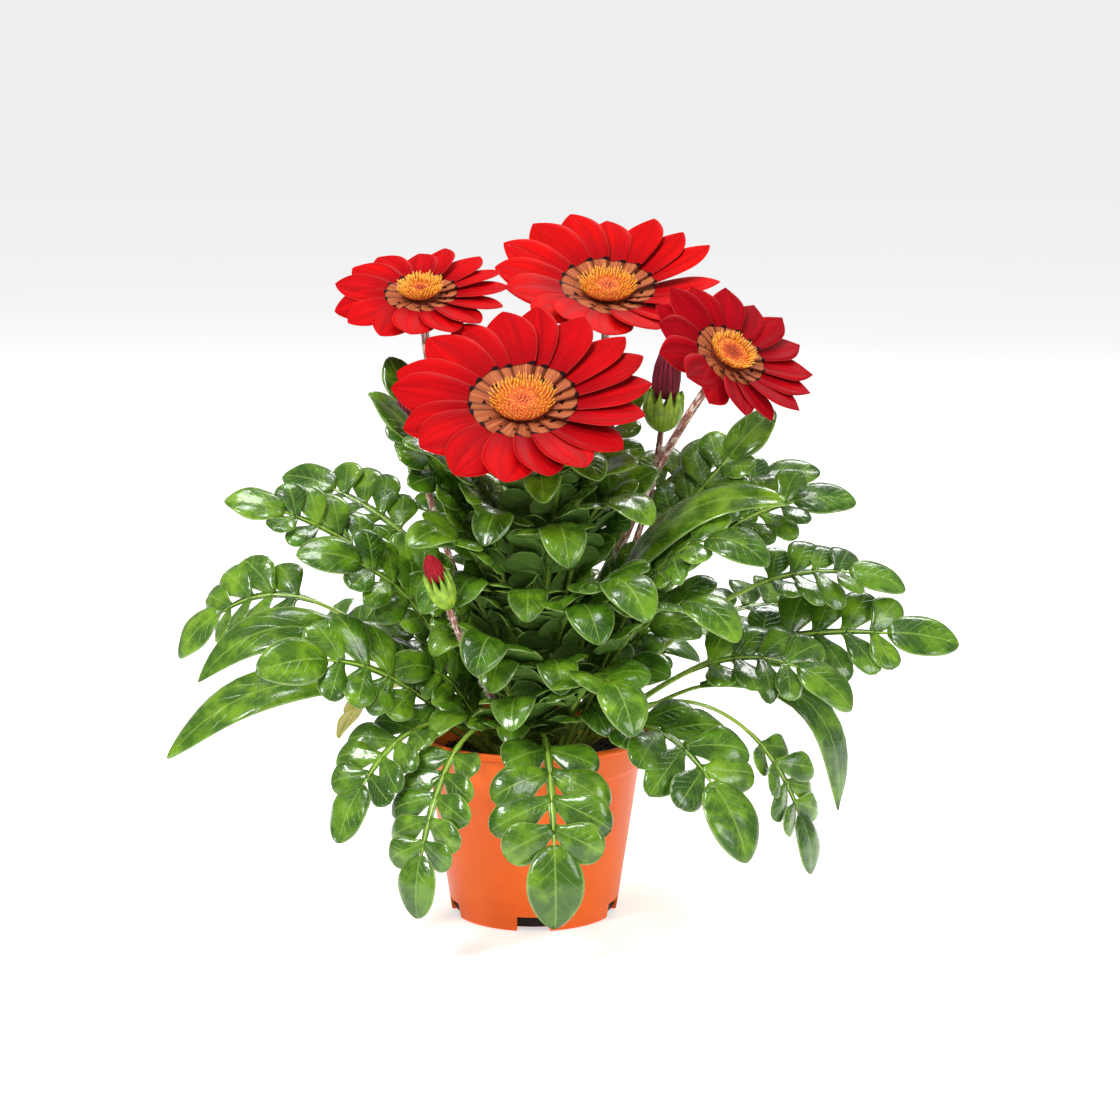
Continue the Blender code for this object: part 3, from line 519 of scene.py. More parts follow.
def petal_finish():
    """Crimson to scarlet by tint, with painted highlight streaks, a painted highlight along the rims and
    painted shade along the creases; terracotta at the foot, with dark spots at its corners.
    """
    f = Finish("petal_skin")
    along, across, tint, side = (f.mark(t) for t in Shell.MARKS)
    spread = f.math("ABSOLUTE", across)
    seed = f.times(tint, 37.0)
    streak = f.noise(1.0, 2, f.combine(f.times(across, 2.6), f.times(along, 1.2), seed))
    fine = f.noise(1.0, 2, f.combine(f.times(across, 26.0), f.times(along, 2.5), seed))
    dark = f.mix(tint, (0.20, 0.0005, 0.004), (0.45, 0.001, 0.001))
    red = f.mix(f.step(streak, 0.3, 0.7), dark, f.mix(tint, (0.32, 0.001, 0.005), (0.62, 0.003, 0.002)))
    # Painted highlight: fine bright red streaks stand in for the petal's satin sheen.
    red = f.mix(f.times(f.step(fine, 0.55, 0.8), 0.10), red, (0.80, 0.02, 0.02))
    red = f.mix(f.step(along, 0.40, 0.70, 0.55, 0.0), red, (0.20, 0.0005, 0.004))
    # Painted shade: a darker line along each of the petal's two creases.
    painted_crease_shade = f.step(f.math("ABSOLUTE", f.minus(spread, 0.33)), 0.0, 0.09, 0.32, 0.0)
    red = f.mix(painted_crease_shade, red, (0.20, 0.0006, 0.004))
    # Painted highlight: a pale scarlet line along the petal's rim.
    red = f.mix(f.step(spread, 0.94, 1.0, 0.0, 0.3), red, (0.80, 0.08, 0.06))
    edge = f.minus(0.40, f.times(f.times(spread, spread), 0.035))
    brown = f.mix(f.step(fine, 0.4, 0.62), (0.27, 0.058, 0.022), (0.47, 0.15, 0.060))
    brown = f.mix(f.step(spread, 0.72, 0.9, 0.0, 0.75), brown, (0.06, 0.008, 0.006))
    beyond = f.minus(along, edge)
    colour = f.mix(f.step(beyond, -0.004, 0.004, 1.0, 0.0), red, brown)
    from_edge = f.math("ABSOLUTE", beyond)
    colour = f.mix(f.step(from_edge, 0.0, 0.012, 0.75, 0.0), colour, (0.05, 0.003, 0.004))
    corner = f.times(f.minus(0.78, spread), 1.9)
    spot = f.plus(f.times(from_edge, 30.0), f.math("MAXIMUM", corner, 0.0))
    colour = f.mix(f.step(spot, 0.42, 0.60, 1.0, 0.0), colour, (0.010, 0.004, 0.004))
    foot = f.math("ABSOLUTE", f.minus(along, 0.285))
    mark = f.plus(f.times(foot, 24.0), f.times(spread, 1.4))
    colour = f.mix(f.step(mark, 0.45, 0.62, 1.0, 0.0), colour, (0.010, 0.004, 0.004))
    under = f.mix(f.step(spread, 0.25, 0.5, 0.75, 0.0), (0.36, 0.004, 0.012), (0.22, 0.02, 0.03))
    colour = f.mix(f.step(side, 0.7, 0.95), colour, under)
    f.bump(f.plus(fine, f.times(streak, 0.8)), 0.0005, 0.5)
    return f.done(colour, f.step(streak, 0.3, 0.7, 0.5, 0.65), Specular_IOR_Level=0.03)


def disc_finish():
    """Florets, from orange-red in the middle to yellow at the rim; tint says how far out each stands."""
    f = Finish("floret_skin")
    along, tint = f.mark("along"), f.mark("tint")
    grain = f.noise(900, 3)
    inner = f.mix(f.step(tint, 0.1, 0.45), (0.26, 0.018, 0.008), (0.58, 0.070, 0.008))
    outer = f.mix(f.step(tint, 0.5, 0.9), inner, (0.86, 0.33, 0.022))
    tips = f.times(f.step(along, 0.45, 1.0), f.step(tint, 0.35, 0.6))
    tipped = f.mix(tips, outer, (0.92, 0.50, 0.06))
    colour = f.mix(f.step(grain, 0.35, 0.7, 0.35, 0.0), tipped, (0.30, 0.06, 0.01))
    f.bump(grain, 0.0003, 0.6)
    return f.done(colour, f.step(grain, 0.3, 0.7, 0.5, 0.7), Specular_IOR_Level=0.3)


def cup_finish():
    """Yellow-green bracts with darker tips and fine bumped ribs, with painted shade in the grooves between
    them.
    """
    f = Finish("bract_skin")
    along, across = f.mark("along"), f.mark("across")
    mottle = f.noise(260, 3)
    green = f.mix(f.step(mottle, 0.35, 0.7), (0.16, 0.30, 0.015), (0.36, 0.52, 0.035))
    ribs = f.math("PINGPONG", f.times(across, 24.0), 0.5)
    # Painted shade: darker green in the grooves between the ribs.
    green = f.mix(f.step(ribs, 0.0, 0.2, 0.5, 0.0), green, (0.09, 0.20, 0.012))
    colour = f.mix(f.step(along, 0.62, 0.95, 0.0, 0.55), green, (0.05, 0.12, 0.02))
    f.bump(f.plus(mottle, ribs), 0.0004, 0.5)
    return f.done(colour, f.step(mottle, 0.3, 0.7, 0.38, 0.55), Specular_IOR_Level=0.45)


def stalk_finish():
    """Olive at the foot and reddish brown towards the bloom, with pale felt in streaks."""
    f = Finish("stalk_skin")
    along, across = f.mark("along"), f.mark("across")
    mottle = f.noise(450, 4)
    low = f.mix(f.step(mottle, 0.35, 0.65), (0.24, 0.22, 0.06), (0.34, 0.30, 0.10))
    high = f.mix(f.step(mottle, 0.35, 0.65), (0.16, 0.035, 0.022), (0.34, 0.11, 0.06))
    colour = f.mix(f.step(along, 0.25, 0.62), low, high)
    around = f.times(f.math("PINGPONG", across, 0.5), 9.0)
    felt = f.noise(1.0, 3, f.combine(around, f.times(along, 34.0), 0.0))
    colour = f.mix(f.step(felt, 0.50, 0.60, 0.0, 0.85), colour, (0.80, 0.66, 0.56))
    f.bump(mottle, 0.0005, 0.6)
    return f.done(colour, f.step(mottle, 0.3, 0.7, 0.5, 0.75), Sheen_Weight=0.3)


def wool_finish():
    f = Finish("stalk_wool")
    pale = f.noise(300, 2)
    colour = f.mix(f.step(pale, 0.35, 0.65), (0.66, 0.54, 0.46), (0.90, 0.86, 0.80))
    return f.done(colour, f.step(pale, 0.3, 0.7, 0.6, 0.8), Sheen_Weight=0.4)


def bud_finish():
    """Folded petals: crimson to maroon, with painted shade in the folds."""
    f = Finish("bud_skin")
    along, across, tint = f.mark("along"), f.mark("across"), f.mark("tint")
    fine = f.noise(1.0, 3, f.combine(f.times(across, 40.0), f.times(along, 2.0), tint))
    dark = f.mix(f.step(fine, 0.35, 0.65), (0.055, 0.004, 0.012), (0.16, 0.012, 0.03))
    bright = f.mix(f.step(fine, 0.35, 0.65), (0.20, 0.002, 0.010), (0.42, 0.006, 0.014))
    colour = f.mix(tint, dark, bright)
    painted_fold_shade = f.math("PINGPONG", f.times(across, 16.0), 0.5)
    # Painted shade: dark lines where the folds lie.
    colour = f.mix(f.step(painted_fold_shade, 0.0, 0.16, 0.7, 0.0), colour, (0.02, 0.002, 0.005))
    f.bump(fine, 0.0003, 0.6)
    return f.done(colour, f.step(fine, 0.3, 0.7, 0.45, 0.6), Specular_IOR_Level=0.15)


def pot_finish():
    """Satin orange plastic with a faint orange-peel skin, scuffs and a duller inside."""
    f = Finish("pot_skin")
    peel = f.noise(1400, 3)
    cloud = f.noise(26, 3)
    scuff = f.noise(160, 6, rough=0.75)
    colour = f.mix(f.step(cloud, 0.3, 0.7), (0.74, 0.104, 0.006), (0.84, 0.138, 0.011))
    colour = f.mix(f.step(scuff, 0.62, 0.8, 0.0, 0.22), colour, (0.92, 0.36, 0.16))
    f.bump(f.plus(peel, f.times(cloud, 0.4)), 0.00025, 0.5)
    rough = f.plus(f.step(cloud, 0.3, 0.7, 0.34, 0.46), f.step(scuff, 0.6, 0.8, 0.0, 0.15))
    return f.done(colour, rough, Specular_IOR_Level=0.22)


def soil_finish():
    f = Finish("soil_crumbs")
    grain = f.noise(420, 6, rough=0.7)
    fleck = f.noise(900, 2)
    colour = f.mix(f.step(grain, 0.35, 0.7), (0.004, 0.003, 0.0025), (0.030, 0.018, 0.011))
    colour = f.mix(f.step(fleck, 0.70, 0.78), colour, (0.10, 0.06, 0.035))
    f.bump(grain, 0.0016, 0.9)
    return f.done(colour, f.step(grain, 0.3, 0.7, 0.75, 0.95), Specular_IOR_Level=0.25)


class Spine:
    """A leaf's rib: places by arc length, each with its side and upper directions."""

    FINENESS = 60

    def __init__(self, row):
        azimuth, reach, tip, launch, landing, _, _, roll, root = row
        azimuth = math.radians(azimuth)
        leave = slanted(azimuth, math.radians(launch))
        out = slanted(azimuth)
        start = out * (root * MM) + Vector((0, 0, SOIL_TOP)) - leave * ROOT_DEPTH
        end = out * (reach * MM) + Vector((0, 0, tip * MM))
        arrive = slanted(azimuth, math.radians(landing))
        self.points = curve_points(start, leave, end, arrive, self.FINENESS)
        steps = [(b - a).length for a, b in zip(self.points, self.points[1:])]
        self.lengths = np.concatenate([[0], np.cumsum(steps)])
        self.length = float(self.lengths[-1])
        self.roll = math.radians(roll)
        self.roll_by = 0.45 * self.length
        self.side = Vector((out.y, -out.x, 0))

    def frame(self, s):
        """(point, side, upper direction) at arc length s; it runs straight on past the ends."""
        inside = min(max(s, 0.0), self.length)
        k = min(int(np.searchsorted(self.lengths, inside, "right")) - 1, self.FINENESS - 2)
        a, b = self.points[k], self.points[k + 1]
        along = (b - a).normalized()
        point = a + along * (s - float(self.lengths[k]))
        turn = self.roll * smooth(inside / self.roll_by)
        upper = self.side.cross(along)
        side = self.side * math.cos(turn) - upper * math.sin(turn)
        upper = upper * math.cos(turn) + self.side * math.sin(turn)
        return point, side, upper


def lobe_scale(i, pairs):
    """How long the i-th pair of lobes from the stalk is, as a share of the longest."""
    return 0.55 + 0.45 * math.sin(math.pi * (i + 0.9) / (pairs + 0.8))


def obovate(t):
    """A lobe's half width from its narrow foot to its round tip, as a share of the widest."""
    if t < 0.6:
        return 0.30 + 0.70 * smooth(t / 0.6) ** 0.9
    return math.sqrt(max(1 - ((t - 0.6) / 0.4) ** 2.2, 0.0)) * 0.97 + 0.03


def elliptic(t):
    """The half width of a leaf's end lobe."""
    return 0.05 + 0.12 * (1 - t) + 0.88 * max(math.sin(math.pi * t**0.95), 0.0) ** 0.62


def lanceolate(t):
    """The half width of a plain blade."""
    return 0.03 + 0.10 * (1 - t) + 0.9 * max(math.sin(math.pi * t**1.3), 0.0) ** 0.85


def blade_rise(seed, t, x, width, length):
    """How far a blade stands above the leaf's surface: arched, grooved, and curled down at its tip."""
    curl = (CURL + CURL_SPREAD * jitter(seed, 4)) * length
    groove = GROOVE_DEPTH * math.exp(-((x / GROOVE_HALF_SHARE) ** 2)) * (1 - 0.5 * t)
    return CAMBER * width * (1 - x * x) - curl * t * t - groove


def add_blade(shell, spine, seed, foot, heading, length, half_width, profile, size, lift, sign=1, tilt=0.0):
    """A lobe or blade laid on the leaf's surface from foot (along, across) in its heading."""
    ahead_s, ahead_w = math.cos(heading), math.sin(heading)
    tint = 0.5 + 0.5 * jitter(seed, 3)
    wave = WAVE * half_width * (1.5 + jitter(seed, 5))

    def cell(t, x):
        t = crowded(t)
        width = half_width * profile(t)
        reach, over = t * length, x * width
        s = foot[0] + reach * ahead_s - over * ahead_w * sign
        w = foot[1] + reach * ahead_w + over * ahead_s * sign
        ripple = wave * math.sin(9 * t + 4 * x + seed) * abs(x) ** 1.5
        pucker = PUCKER * math.cos(t * 20 - abs(x) * 7) * math.sin(math.pi * abs(x))
        rise = blade_rise(seed, t, x, width, length) + ripple + pucker + over * math.tan(tilt)
        sag = SAG * max(abs(w) - SAG_FROM * size, 0) ** 2 / size
        point, side, upper = spine.frame(s)
        middle = point + side * (sign * w * math.cos(lift)) + upper * (abs(w) * math.sin(lift) - sag + rise)
        rim = max(abs(x), 2 * t - 1) ** 3
        half = MIDDLE_HALF_THICKNESS + (EDGE_HALF_THICKNESS - MIDDLE_HALF_THICKNESS) * rim
        return middle, upper * half, (t, x, tint)

    shell.sheet(BLADE_ROWS, BLADE_COLUMNS, cell)


def add_leaf(shell, number, row):
    """One leaf: its stalk and rib, and the lobes in pairs with one at the end, or a plain blade."""
    spine = Spine(row)
    pairs, lobe = row[5], row[6] * MM
    length = spine.length
    first = len(shell.marks)
    if pairs:
        blade, half_width, profile = TERMINAL_SHARE * lobe, TERMINAL_HALF_SHARE * lobe, elliptic
        start = length - min(lobe * (TERMINAL_SHARE + LOBE_STEP * pairs), MOST_BLADE * length)
        add_lobes(shell, spine, number, pairs, lobe, start, length - blade)
    else:
        blade, half_width, profile = PLAIN_LENGTH_SHARE * length, PLAIN_HALF_SHARE * lobe, lanceolate
        start = length - blade
    seed = SEEDS_PER_LEAF * number
    add_blade(shell, spine, seed, (length - blade, 0), 0.0, blade, half_width, profile, lobe, BLADE_LIFT)
    if number == YELLOWING_LEAF:
        shell.marks[first:] = [(t, x, tint + YELLOWED, side) for t, x, tint, side in shell.marks[first:]]
    if pairs:
        add_wing(shell, spine, number, start - 4 * MM, length - 0.9 * blade)
    add_rib(shell, spine, seed, start, blade, half_width, profile)


def add_lobes(shell, spine, number, pairs, lobe, start, end):
    """The side lobes from start to end, one pair more than the model has and as wide as there.

    Each is tilted so that the next one's rear edge lies over its front edge.
    """
    width = LOBE_SHARE * (end - start) / pairs * math.sin(LOBE_ANGLE) * LOBE_OVERLAP
    pairs += 1
    for i in range(pairs):
        foot = start + (i + 0.5) * (end - start) / pairs, RIB_HALF_WIDTH * (0.5 - 0.2 * i / pairs)
        reach = LOBE_STRETCH * lobe * lobe_scale(i, pairs)
        for sign in (1, -1):
            which = sign * (i + 1)
            turn = LOBE_ANGLE + LOBE_ANGLE_SPREAD * jitter(number + 50, which)
            lift = LOBE_LIFT + LOBE_LIFT_SPREAD * jitter(number, which)
            tilt = LOBE_TILT * sign
            seed = SEEDS_PER_LEAF * number + 7 * i + sign
            half = width * (1 + 0.08 * jitter(seed, 8))
            add_blade(shell, spine, seed, foot, turn, reach, half, obovate, lobe, lift, sign, tilt)


def add_wing(shell, spine, number, low, high):
    """The narrow green wing along the rib between the lobes."""

    def cell(t, x):
        point, side, upper = spine.frame(low + (high - low) * t)
        half = WING_HALF_WIDTH * (0.35 + 0.65 * math.sin(math.pi * min(t + 0.08, 1.0)) ** 0.5)
        middle = point + side * (x * half) + upper * (abs(x) * half * 0.12)
        return middle, upper * WING_HALF_THICKNESS, (t, 0.15 + 0.5 * x, 0.5 + 0.5 * jitter(number, 9))

    shell.sheet(WING_ROWS, WING_COLUMNS, cell)


def add_rib(shell, spine, seed, start, blade, half_width, profile):
    """The leaf's stalk, which runs on as a rib under the last blade and thins out near its tip."""
    length = spine.length
    path, ups, radii, marks = [], [], [], []
    for k in range(RIB_POINTS):
        s = (length - 0.06 * (length - start)) * k / (RIB_POINTS - 1)
        point, _, upper = spine.frame(s)
        along = min(s / start, 1.0)
        beyond = max(s - start, 0.0) / (length - start)
        rise = -0.12 * MM * beyond
        t = (s - length + blade) / blade
        if t > 0:
            rise += blade_rise(seed, t, 0, half_width * profile(t), blade) - 0.22 * MM
        path.append(point + upper * rise)
        ups.append(upper)
        radii.append(PETIOLE_HALF_WIDTH * (1.05 - 0.25 * along) * (1 - 0.72 * beyond**0.8))
        marks.append((along, 0.0, 0.5, 0.5))
    shell.tube(path, 8, radii, PETIOLE_THICKNESS / (2 * PETIOLE_HALF_WIDTH), ups, marks)


def leaf_nodes():
    """Which leaves each leaf node holds, found from where the leaves' tips lie."""
    names = [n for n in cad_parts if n.startswith(("leaf", "leaves", "crown"))]
    places = [(tuple(v.co), name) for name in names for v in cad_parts[name].data.vertices]
    tree = KDTree(len(places))
    for k, (place, _) in enumerate(places):
        tree.insert(place, k)
    tree.balance()
    holds = {name: [] for name in names}
    for number, row in enumerate(LEAVES, 1):
        spine = Spine(row)
        _, k, _ = tree.find(spine.points[-1])
        holds[places[k][1]].append((number, row))
    return holds


def make_leaves():
    skin = leaf_finish()
    for name, members in leaf_nodes().items():
        shell = Shell()
        for number, row in members:
            add_leaf(shell, number, row)
        if name.startswith("crown"):
            add_crown(shell)
        shell.made(name + "_fine", skin, "leaf", name)
    front, back = Shell(), Shell()
    for number, row in enumerate(YOUNG_LEAVES, len(LEAVES) + 1):
        add_leaf(front if FRONT_SIDE[0] < row[0] < FRONT_SIDE[1] else back, number, row)
    front.made("young_leaves_front", skin, "leaf")
    back.made("young_leaves_back", skin, "leaf")


def add_crown(shell):
    """The short rootstock with the sheaths of old leaf stalks, coloured like a leaf stalk's foot."""
    low, high = SOIL_TOP - ROOT_DEPTH, SOIL_TOP + 3 * MM
    profile = [(0, low), (7.2 * MM, low), (8 * MM, SOIL_TOP), (6.6 * MM, SOIL_TOP + 1.6 * MM)]
    profile += [(4.4 * MM, high), (0, high)]

    def sheaths(angle, share, radius, height):
        return radius * (1 + 0.07 * math.cos(9 * angle + 5 * share)), height

    first = len(shell.marks)
    shell.turned(profile, 60, sheaths)
    shell.marks[first:] = [(0.0, 0.0, 0.5, 0.5)] * (len(shell.marks) - first)


def petal_width(t, bluntness):
    """A ray petal's half width from its narrow foot to its point, as a share of the widest."""
    if t < 0.62:
        return 0.36 + 0.64 * math.sin(math.pi / 2 * t / 0.62) ** 1.1
    return max(1 - ((t - 0.62) / 0.38) ** 2.1, 0.0) ** bluntness * 0.985 + 0.015


def add_petal(shell, number, k):
    """One ray petal: pointed, with two long creases, hollowed and turned by its own amount."""
    _, _, radius, count, lift, droop, _, _ = BLOOMS[number - 1]
    overlap, bluntness, tone = PETAL_STYLES[number - 1]
    radius *= MM
    layer = 1 if k % 2 else -1
    out = slanted(2 * math.pi * (k + 0.14 * jitter(number, k)) / count)
    side = Vector((out.y, -out.x, 0))
    lift = math.radians(lift + LAYER_LIFT * layer + 1.5 * jitter(number + 10, k))
    droop = math.radians(droop + 3 * jitter(number + 20, k))
    root = THROAT_SHARE * radius * 0.9
    reach = radius * (1 - 0.06 * abs(jitter(number + 30, k))) - root
    width = overlap * 2 * math.pi * radius / count * (0.96 + 0.08 * jitter(number + 40, k))
    twist = SHINGLE_TILT + 0.05 * jitter(number + 60, k)
    cup = 0.10 + 0.06 * jitter(number + 70, k)
    sway = 0.03 * jitter(number + 80, k) * reach
    tint = tone + 0.12 * jitter(number + 90, k)

    def cell(t, x):
        t = crowded(t)
        half = width / 2 * petal_width(t, bluntness)
        radial = root + reach * t * math.cos(lift)
        base = reach * (t * math.sin(lift) - t**2.2 * math.sin(droop)) + LAYER_RAISE * layer
        pleat = PLEAT * math.cos(2.7 * math.pi * x) * smooth(t * 2) * (1 - t) ** 0.4
        hollow = cup * half * (x * x - 0.35) * (1 - 1.6 * t * t)
        rise = Vector((0, 0, base + pleat + hollow + twist * x * half))
        thick = Vector((0, 0, PETAL_HALF_THICKNESS * (1 - 0.6 * max(abs(x), t) ** 3)))
        return out * radial + side * (x * half + sway * t * t) + rise, thick, (radial / radius, x, tint)

    shell.sheet(PETAL_ROWS, PETAL_COLUMNS, cell)


def make_bloom(number, row, skins):
    """An open bloom: petals round a closed throat, the disc, the cup of bracts and the stalk."""
    centre, direction, radius, count, _, _, azimuth, root = row
    radius *= MM
    place = Matrix.Translation(Vector(centre) * MM) @ facing(direction)
    rays = Shell()
    throat = THROAT_SHARE * radius
    ring = [(0, THROAT_BOTTOM), (throat, THROAT_BOTTOM), (throat * 1.1, 0)]
    ring += [(throat, THROAT_TOP), (0, THROAT_TOP)]
    rays.turned(ring, 40)
    rays.marks = [(0.3, 0.9, 0.5, 0.0)] * len(rays.marks)
    for k in range(count):
        add_petal(rays, number, k)
    rays.points = [place @ p for p in rays.points]
    rays.made(f"ray_petals_{number}", skins["petal"], "petal", f"petals_{number}")
    make_disc(number, radius, place, skins["disc"])
    length = CUP_LENGTH_SHARE * radius
    below = THROAT_BOTTOM - GAP
    make_cup(f"cup_{number}", CUP_RADIUS_SHARE * radius, length, below, place, skins["cup"], CUP_TEETH, 0.5)
    axis = Vector(direction).normalized()
    top = Vector(centre) * MM + axis * (below - length - GAP)
    make_stalk(f"stalk_{number}", top, axis, azimuth, root, STALK_RADIUS, skins)


def make_disc(number, radius, place, skin):
    """A dome crowded with florets: closed knobs in the middle, then standing ones that lean out."""
    outer = DISC_SHARE * radius
    base = THROAT_TOP + GAP
    shell = Shell()
    dome = [(0, base), (THROAT_SHARE * radius * 0.72, base), (outer * 0.97, base + 2.3 * MM)]
    dome += [(outer * 0.8, base + 3.2 * MM), (outer * 0.4, base + 3.3 * MM), (0, base + 3.2 * MM)]
    shell.turned(dome, 40, tint=0.4)
    closed = CLOSED_SHARES[number - 1]
    for k in range(FLORETS):
        share = math.sqrt((k + 0.5) / FLORETS)
        turn = k * math.pi * (3 - math.sqrt(5))
        out = slanted(turn)
        aside = Vector((-out.y, out.x, 0))
        foot = out * (outer * share * 0.96) + Vector((0, 0, base + 2.6 * MM - 0.5 * MM * share))
        if share < closed:
            tall, lean, thick, tint = 1.3 * MM, 0.1, 0.55 * MM, 0.6 * share / closed
        else:
            tall = (3.3 + 0.8 * jitter(k, number)) * MM
            lean, thick, tint = 0.15 + 0.4 * share, 0.40 * MM, 0.55 + 0.45 * share
        tip = foot + (out * lean + aside * (0.14 * jitter(k, number + 5)) + Vector((0, 0, 1))) * tall
        steps = (0, 0.4, 0.8, 1.0)
        path = [foot.lerp(tip, t) + out * (0.10 * tall * t * t) for t in steps]
        marks = [(t, 0.0, tint + 0.1 * jitter(k, 2), 0.0) for t in steps]
        shell.tube(path, 6, [thick, thick * 0.85, thick * 0.8, thick * 0.25], marks=marks)
    shell.points = [place @ p for p in shell.points]
    shell.made(f"florets_{number}", skin, "disc", f"disc_{number}")


def make_cup(node, radius, length, top, place, skin, teeth, tip_share, swell=1.0, longer=0.0):
    """The cup of bracts: a ribbed body whose rim runs up into pointed teeth.

    swell widens its belly, and longer is how far its teeth rise above its rim, as a share of its length.
    """
    shell = Shell()
    profile = [(0, -1.0), (0.26, -1.0), (0.5, -0.93), (0.72, -0.8), (0.9, -0.58), (1.0, -0.35), (0.99, -0.15)]
    profile += [(0.96, 0.0), (0.90, 0.0), (0, -tip_share)]

    def toothed(angle, share, r, z):
        point = abs(((angle * teeth / (2 * math.pi)) % 1) * 2 - 1)
        wide = 0.98 + 0.03 * point
        if share < 0.75:
            wide *= 1 + (swell - 1) * math.sin(math.pi * max(1 + z, 0)) ** 0.5
        if z > -tip_share:
            z = -tip_share + (z + tip_share + longer * point) * (0.25 + 0.75 * point)
        return radius * r * wide, top + length * z

    shell.turned(profile, teeth * 8, toothed, place, 0.5)
    shell.made(node + "_fine", skin, "cup", node)


def make_stalk(node, top, axis, azimuth, root, radius, skins):
    """A stalk on the model's curve, with short white wool standing out from it."""
    foot = slanted(math.radians(azimuth)) * root * MM + Vector((0, 0, SOIL_TOP))
    lean = (top - foot).normalized()
    leave = (lean + Vector((0, 0, 0.8))).normalized()
    count = STALK_POINTS
    path = curve_points(foot - leave * ROOT_DEPTH, leave, top, axis, count)
    radii = [radius * (1.12 - 0.25 * k / (count - 1)) * (1 + 0.02 * jitter(k, azimuth)) for k in range(count)]
    shell = Shell()
    shell.tube(path, 14, radii)
    shell.made(node + "_fine", skins["stalk"], "stalk", node)
    wool = Shell()
    for k in range(HAIRS_PER_STALK):
        share = 0.08 + 0.91 * (k + 0.5) / HAIRS_PER_STALK
        place = share * (count - 1)
        n = min(int(place), count - 2)
        ahead = (path[n + 1] - path[n]).normalized()
        out = ahead.orthogonal().normalized()
        out = Matrix.Rotation(k * 2.399, 3, ahead) @ out
        start = path[n].lerp(path[n + 1], place - n) + out * radii[n] * 0.93
        size = (1.5 + 0.8 * jitter(k, 6)) * MM
        bend = ahead * (0.8 * jitter(k, 7)) + out.cross(ahead) * (0.8 * jitter(k, 8))
        middle = start + (out * 0.45 + bend * 0.5) * size * 0.6
        end = start + (out * 0.55 + bend) * size
        wool.tube([start, middle, end], 3, HAIR_RADII)
    wool.made(node + "_wool", skins["wool"], "stalk")


def make_bud(number, row, skins):
    """A closed bud: folded petals in pleats, drawn to a point, in its cup."""
    tip, direction, length, radius, cup_length, azimuth, root = row
    length, radius, cup_length = length * MM, radius * MM, cup_length * MM
    axis = Vector(direction).normalized()
    place = Matrix.Translation(Vector(tip) * MM - axis * length) @ facing(direction)
    profile = [(0, 0.0), (0.84, 0.0), (0.88, 0.15), (0.9, 0.35), (0.84, 0.55), (0.68, 0.72), (0.48, 0.86)]
    profile += [(0.28, 0.95), (0.1, 0.995), (0, 1.0)]

    def pleated(angle, share, r, z):
        turn = 8 * angle + 2.2 * z
        fold = abs(math.cos(turn)) ** 0.7 * 0.20 - 0.12
        return radius * r * (1 + fold * (0.35 + 0.65 * z)), length * z

    shell = Shell()
    shell.turned(profile, 128, pleated, place, BUD_TONES[number - 1])
    shell.made(f"folded_petals_{number}", skins["bud"], "bud", f"bud_petals_{number}")
    wide, teeth = BUD_CUP_SHARE * radius, BUD_CUP_TEETH
    make_cup(f"bud_cup_{number}", wide, cup_length, -GAP, place, skins["cup"], teeth, 0.3, BUD_CUP_SWELL, 0.3)
    top = Vector(tip) * MM - axis * (length + cup_length + 2 * GAP)
    make_stalk(f"bud_stalk_{number}", top, axis, azimuth, root, BUD_STALK_RADIUS, skins)


